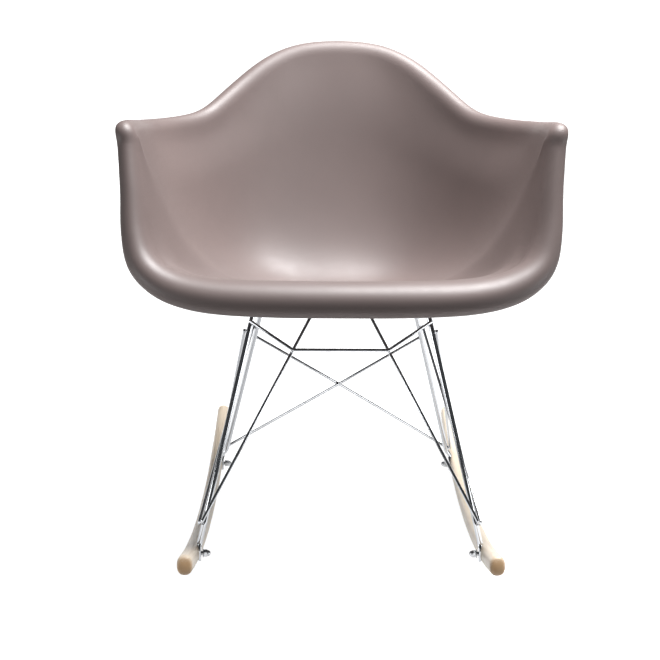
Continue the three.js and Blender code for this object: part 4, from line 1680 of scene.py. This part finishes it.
    def hairpin(self, hoop: HoopFrame) -> Vector:
        """Corner of a wire's hairpin round the outside of a left leg, just above its kink."""
        return (hoop.kink + X_AXIS * self.hairpin_across[hoop.end] + hoop.out() * self.hairpin_out[hoop.end]
                + hoop.down() * self.hairpin_down[hoop.end])

    def weld_outside(self, hoop: HoopFrame, start: Vector) -> Vector:
        """A point beside a left leg where a wire from below touches the leg's outer side.

        Args:
            hoop: the leg's hoop.
            start: where the wire comes from.

        Returns:
            The wire's middle at the weld.
        """
        on_leg = hoop.leg_point(self.arm_weld_drop)
        side = (hoop.kink - hoop.corner).cross(on_leg - start).normalized()
        touch = self.rod + self.wire + self.gap
        return on_leg + side * (touch if side.x > 0 else -touch)

    def bead(self, name: str, place: Vector, towards: Vector, along: Vector, length: float) -> None:
        """A small rippled weld bead in the crevice between two rods.

        Args:
            name: the bead's name.
            place: its middle.
            towards: from one rod's middle to the other's.
            along: the way the bead runs.
            length: its whole length.
        """
        run = (along - towards * along.dot(towards) / towards.length_squared).normalized()
        depth = towards.normalized()
        width = run.cross(depth)
        count, ripples, sides = 17, 9, 20
        rings = []
        for step in range(count):
            share = -1 + 2 * (step + 0.5) / count
            swell = math.sqrt(max(0.0, 1 - share ** 2))
            swell *= 1 + self.bead_ripple * math.cos(share * ripples * math.pi)
            ring = []
            for k in range(sides):
                angle = k * math.tau / sides
                spread = (width * math.cos(angle) * self.bead_half_width
                          + depth * math.sin(angle) * self.bead_half_depth)
                ring.append(place + run * share * length / 2 + spread * swell)
            rings.append(ring)
        self.workshop.dress(loose_object(name, loft(rings)), self.finish, sharp=60.0)

    def strand(self, node: str, corners: Sequence[Vector], bends: Sequence[float], side: Side) -> None:
        """One wire along its corners.

        Args:
            node: the CAD node that it replaces.
            corners: the corners on the left side.
            bends: the bend radii.
            side: the side the wire belongs to.
        """
        path = bent_path([side.place(corner) for corner in corners], bends, 16)
        mesh = round_wire(path, self.wire, 24)
        self.workshop.dress(loose_object(f"bright_{node}", mesh), self.finish, [node], sharp=50.0)

    def build(self) -> None:
        """Makes hoops, wires and welds."""
        front, rear = self.hoop_frame(End.FRONT), self.hoop_frame(End.REAR)
        for hoop in (front, rear):
            self.workshop.dress(self.hoop(hoop), self.finish, [f"{hoop.end.word}_hoop"], sharp=50.0)
        touch = self.rod + self.wire + self.gap
        crossing = 2 * self.wire + self.gap

        brace_weld = front.leg_point(self.brace_drop) + front.out() * touch
        brace_corner = front.leg_point(self.brace_drop + self.brace_dip) + front.out() * touch
        brace_corner.x = self.brace_half_flat
        brace_tip = beyond(brace_corner, brace_weld, self.weld_tip)
        flip = Side.RIGHT.place
        self.strand("front_brace_wire", [brace_tip, brace_corner, flip(brace_corner), flip(brace_tip)],
                    [self.brace_bend] * 2, Side.LEFT)

        front_pin, rear_pin = self.hairpin(front), self.hairpin(rear)
        behind = brace_corner - front.out() * crossing
        share = (front.corner.z - touch - front_pin.z) / (behind.z - front_pin.z)
        front_top = front_pin.lerp(behind, share)
        front_weld = self.weld_outside(rear, front_pin)
        cross_weld = flip(rear.leg_point(self.cross_weld_drop) + rear.out() * touch)
        rear_top = beyond(rear_pin, cross_weld, self.weld_tip)
        middle = rear_pin.lerp(cross_weld, rear_pin.x / (rear_pin.x - cross_weld.x))
        rear_weld = self.weld_outside(front, rear_pin)
        for side in Side:
            self.strand(f"front_cradle_wire_{side.word}",
                        [front_top, front_pin, beyond(front_pin, front_weld, self.weld_tip)],
                        [self.hairpin_bend], side)
            bowed = middle + rear.out() * side.value * crossing / 2
            self.strand(f"rear_cradle_wire_{side.word}",
                        [rear_top, bowed, rear_pin, beyond(rear_pin, rear_weld, self.weld_tip)],
                        [self.bow_bend, self.hairpin_bend], side)

        self.weld_pair("brace", front.leg_point(self.brace_drop), brace_weld, brace_corner - brace_weld)
        self.weld_pair("brace_crossing", behind, brace_corner, front_pin - behind)
        self.weld_pair("front_arm", rear.leg_point(self.arm_weld_drop), front_weld, front_weld - front_pin)
        self.weld_pair("rear_arm", front.leg_point(self.arm_weld_drop), rear_weld, rear_weld - rear_pin)
        self.weld_pair("cross_top", flip(rear.leg_point(self.cross_weld_drop)), cross_weld,
                       cross_weld - rear_pin)
        self.bead("weld_cross_middle", middle, rear.out(), X_AXIS, self.cross_bead_length)
        for hoop, pin in ((front, front_pin), (rear, rear_pin)):
            leg_point = hoop.kink.lerp(hoop.corner, 0.02)
            hook = leg_point + (pin - leg_point).normalized() * (self.rod + self.wire / 2)
            self.weld_pair(f"{hoop.end.word}_hairpin", leg_point, hook * 2 - leg_point, hoop.down())

    def weld_pair(self, name: str, rod_middle: Vector, wire_middle: Vector, along: Vector) -> None:
        """The same weld on both sides.

        Args:
            name: what the weld joins.
            rod_middle: middle of the rod at the weld, on the left.
            wire_middle: middle of the wire there.
            along: the way the bead runs.
        """
        towards = wire_middle - rod_middle
        place = rod_middle + towards * (self.rod / (self.rod + self.wire))
        for side in Side:
            self.bead(f"weld_{name}_{side.word}", side.place(place), side.place(towards), side.place(along),
                      self.bead_length)


# ---- Studio ------------------------------------------------------------------------------------------


@dataclass
class Studio:
    """A glowing table that curves up behind the chair, soft lights and the camera."""

    table_half: float = 9.0
    table_front: float = -0.62
    apron_front: float = -9.0
    wall_at: float = 7.0
    wall_height: float = 1.9
    sweep_radius: float = 1.2
    lens: float = 70.909
    camera_at: tuple[float, float, float] = (-0.0313, -2.0252, 0.7607)
    pitch: float = 12.556
    yaw: float = 0.491
    roll: float = -0.336
    air: tuple = tint(0.9, 0.95, 1.0)
    air_strength: float = 0.08
    sensor: float = 36.0
    view_reach: float = 60.0
    floor_look: PaleFloor = field(default_factory=PaleFloor)

    def sheet(self, workshop: Workshop, name: str, profile: Sequence[tuple[float, float]]) -> bpy.types.Object:
        """A wide sheet that follows a profile from front to back.

        Args:
            workshop: makes its finish.
            name: the sheet's name.
            profile: pairs of y and z.

        Returns:
            The sheet, staged.
        """
        mesh = bmesh.new()
        rows = [[mesh.verts.new((x, y, z)) for y, z in profile] for x in (-self.table_half, self.table_half)]
        for k in range(len(profile) - 1):
            mesh.faces.new((rows[0][k], rows[1][k], rows[1][k + 1], rows[0][k + 1]))
        bmesh.ops.recalc_face_normals(mesh, faces=mesh.faces)
        sheet = loose_object(name, mesh)
        sheet.data.materials.append(workshop.look(self.floor_look))
        sheet.data.shade_smooth()
        return sheet

    def floor(self, workshop: Workshop) -> None:
        """The table under the chair with its sweep, and an apron in front that lights nothing.

        Args:
            workshop: makes the finish.
        """
        curve_from = self.wall_at - self.sweep_radius
        profile = [(self.table_front, 0.0), (curve_from, 0.0)]
        steps = 12
        for step in range(1, steps + 1):
            angle = math.radians(90 * step / steps)
            profile.append((curve_from + self.sweep_radius * math.sin(angle),
                            self.sweep_radius * (1 - math.cos(angle))))
        profile.append((self.wall_at, self.wall_height))
        table = self.sheet(workshop, "studio_table", profile)
        table.visible_diffuse = False
        apron = self.sheet(workshop, "studio_apron", [(self.apron_front, 0.0), (self.table_front, 0.0)])
        apron.visible_glossy = False
        apron.visible_diffuse = False

    def soft_light(self, name: str, place: Sequence[float], aim: Sequence[float], size: tuple[float, float],
                   watts: float) -> None:
        """A rectangular soft light.

        Args:
            name: the light's name.
            place: its middle.
            aim: the point that it faces.
            size: its width and height.
            watts: its power.
        """
        data = bpy.data.lights.new(name, "AREA")
        data.shape = "RECTANGLE"
        data.size, data.size_y = size
        data.energy = watts
        light = bpy.data.objects.new(name, data)
        light.location = place
        way = Vector(aim) - Vector(place)
        light.rotation_euler = way.to_track_quat("-Z", "Y").to_euler()
        bpy.context.scene.collection.objects.link(light)

    def lights(self) -> None:
        """A soft box overhead on the chair's left, a low lamp on each side and a wash on the sweep."""
        self.soft_light("overhead", (0.55, 0.12, 2.30), (0.42, 0.12, 0.0), (1.1, 1.1), 104.0)
        for name, side in (("low_left", 1), ("low_right", -1)):
            self.soft_light(name, (side * 1.7, -1.2, 0.35), (side * 0.2, 0.0, 0.12), (0.9, 0.6), 9.0)
        self.soft_light("sweep_wash", (0.0, 3.6, 3.2), (0.0, 6.5, 0.6), (7.0, 1.2), 260.0)
        world = bpy.data.worlds.new("studio_air")
        world.use_nodes = True
        world.node_tree.nodes["Background"].inputs["Color"].default_value = self.air
        world.node_tree.nodes["Background"].inputs["Strength"].default_value = self.air_strength
        bpy.context.scene.world = world

    def camera(self) -> None:
        """The camera, a little above the arms and in front of the chair."""
        data = bpy.data.cameras.new("studio_camera")
        data.lens = self.lens
        data.sensor_width = self.sensor
        data.clip_end = self.view_reach
        camera = bpy.data.objects.new("studio_camera", data)
        camera.location = self.camera_at
        turn = Matrix.Rotation(-math.radians(self.yaw), 3, "Z")
        tilt = Matrix.Rotation(math.radians(90.0 - self.pitch), 3, "X")
        lean = Matrix.Rotation(-math.radians(self.roll), 3, "Z")
        camera.rotation_euler = (turn @ tilt @ lean).to_euler()
        bpy.context.scene.collection.objects.link(camera)
        bpy.context.scene.camera = camera

    def build(self, workshop: Workshop) -> None:
        """Makes the whole studio.

        Args:
            workshop: makes the floor's finish.
        """
        self.camera()
        self.floor(workshop)
        self.lights()
        bpy.context.scene.view_settings.view_transform = "Standard"


def main() -> None:
    """Builds everything in order."""
    logging.basicConfig(level=logging.INFO, format="%(message)s")
    workshop = Workshop()
    Studio().build(workshop)
    cradle = Cradle(workshop)
    feet = {end: cradle.hoop_frame(end).foot for end in End}
    mounts = MountSet()
    SeatShell().build(workshop, mounts)
    mounts.build(workshop)
    Rockers().build(workshop, feet)
    RockerBolts().build(workshop, feet)
    cradle.build()
    LOG.info("%d fine pieces", workshop.count)


if __name__ == "__main__":
    main()
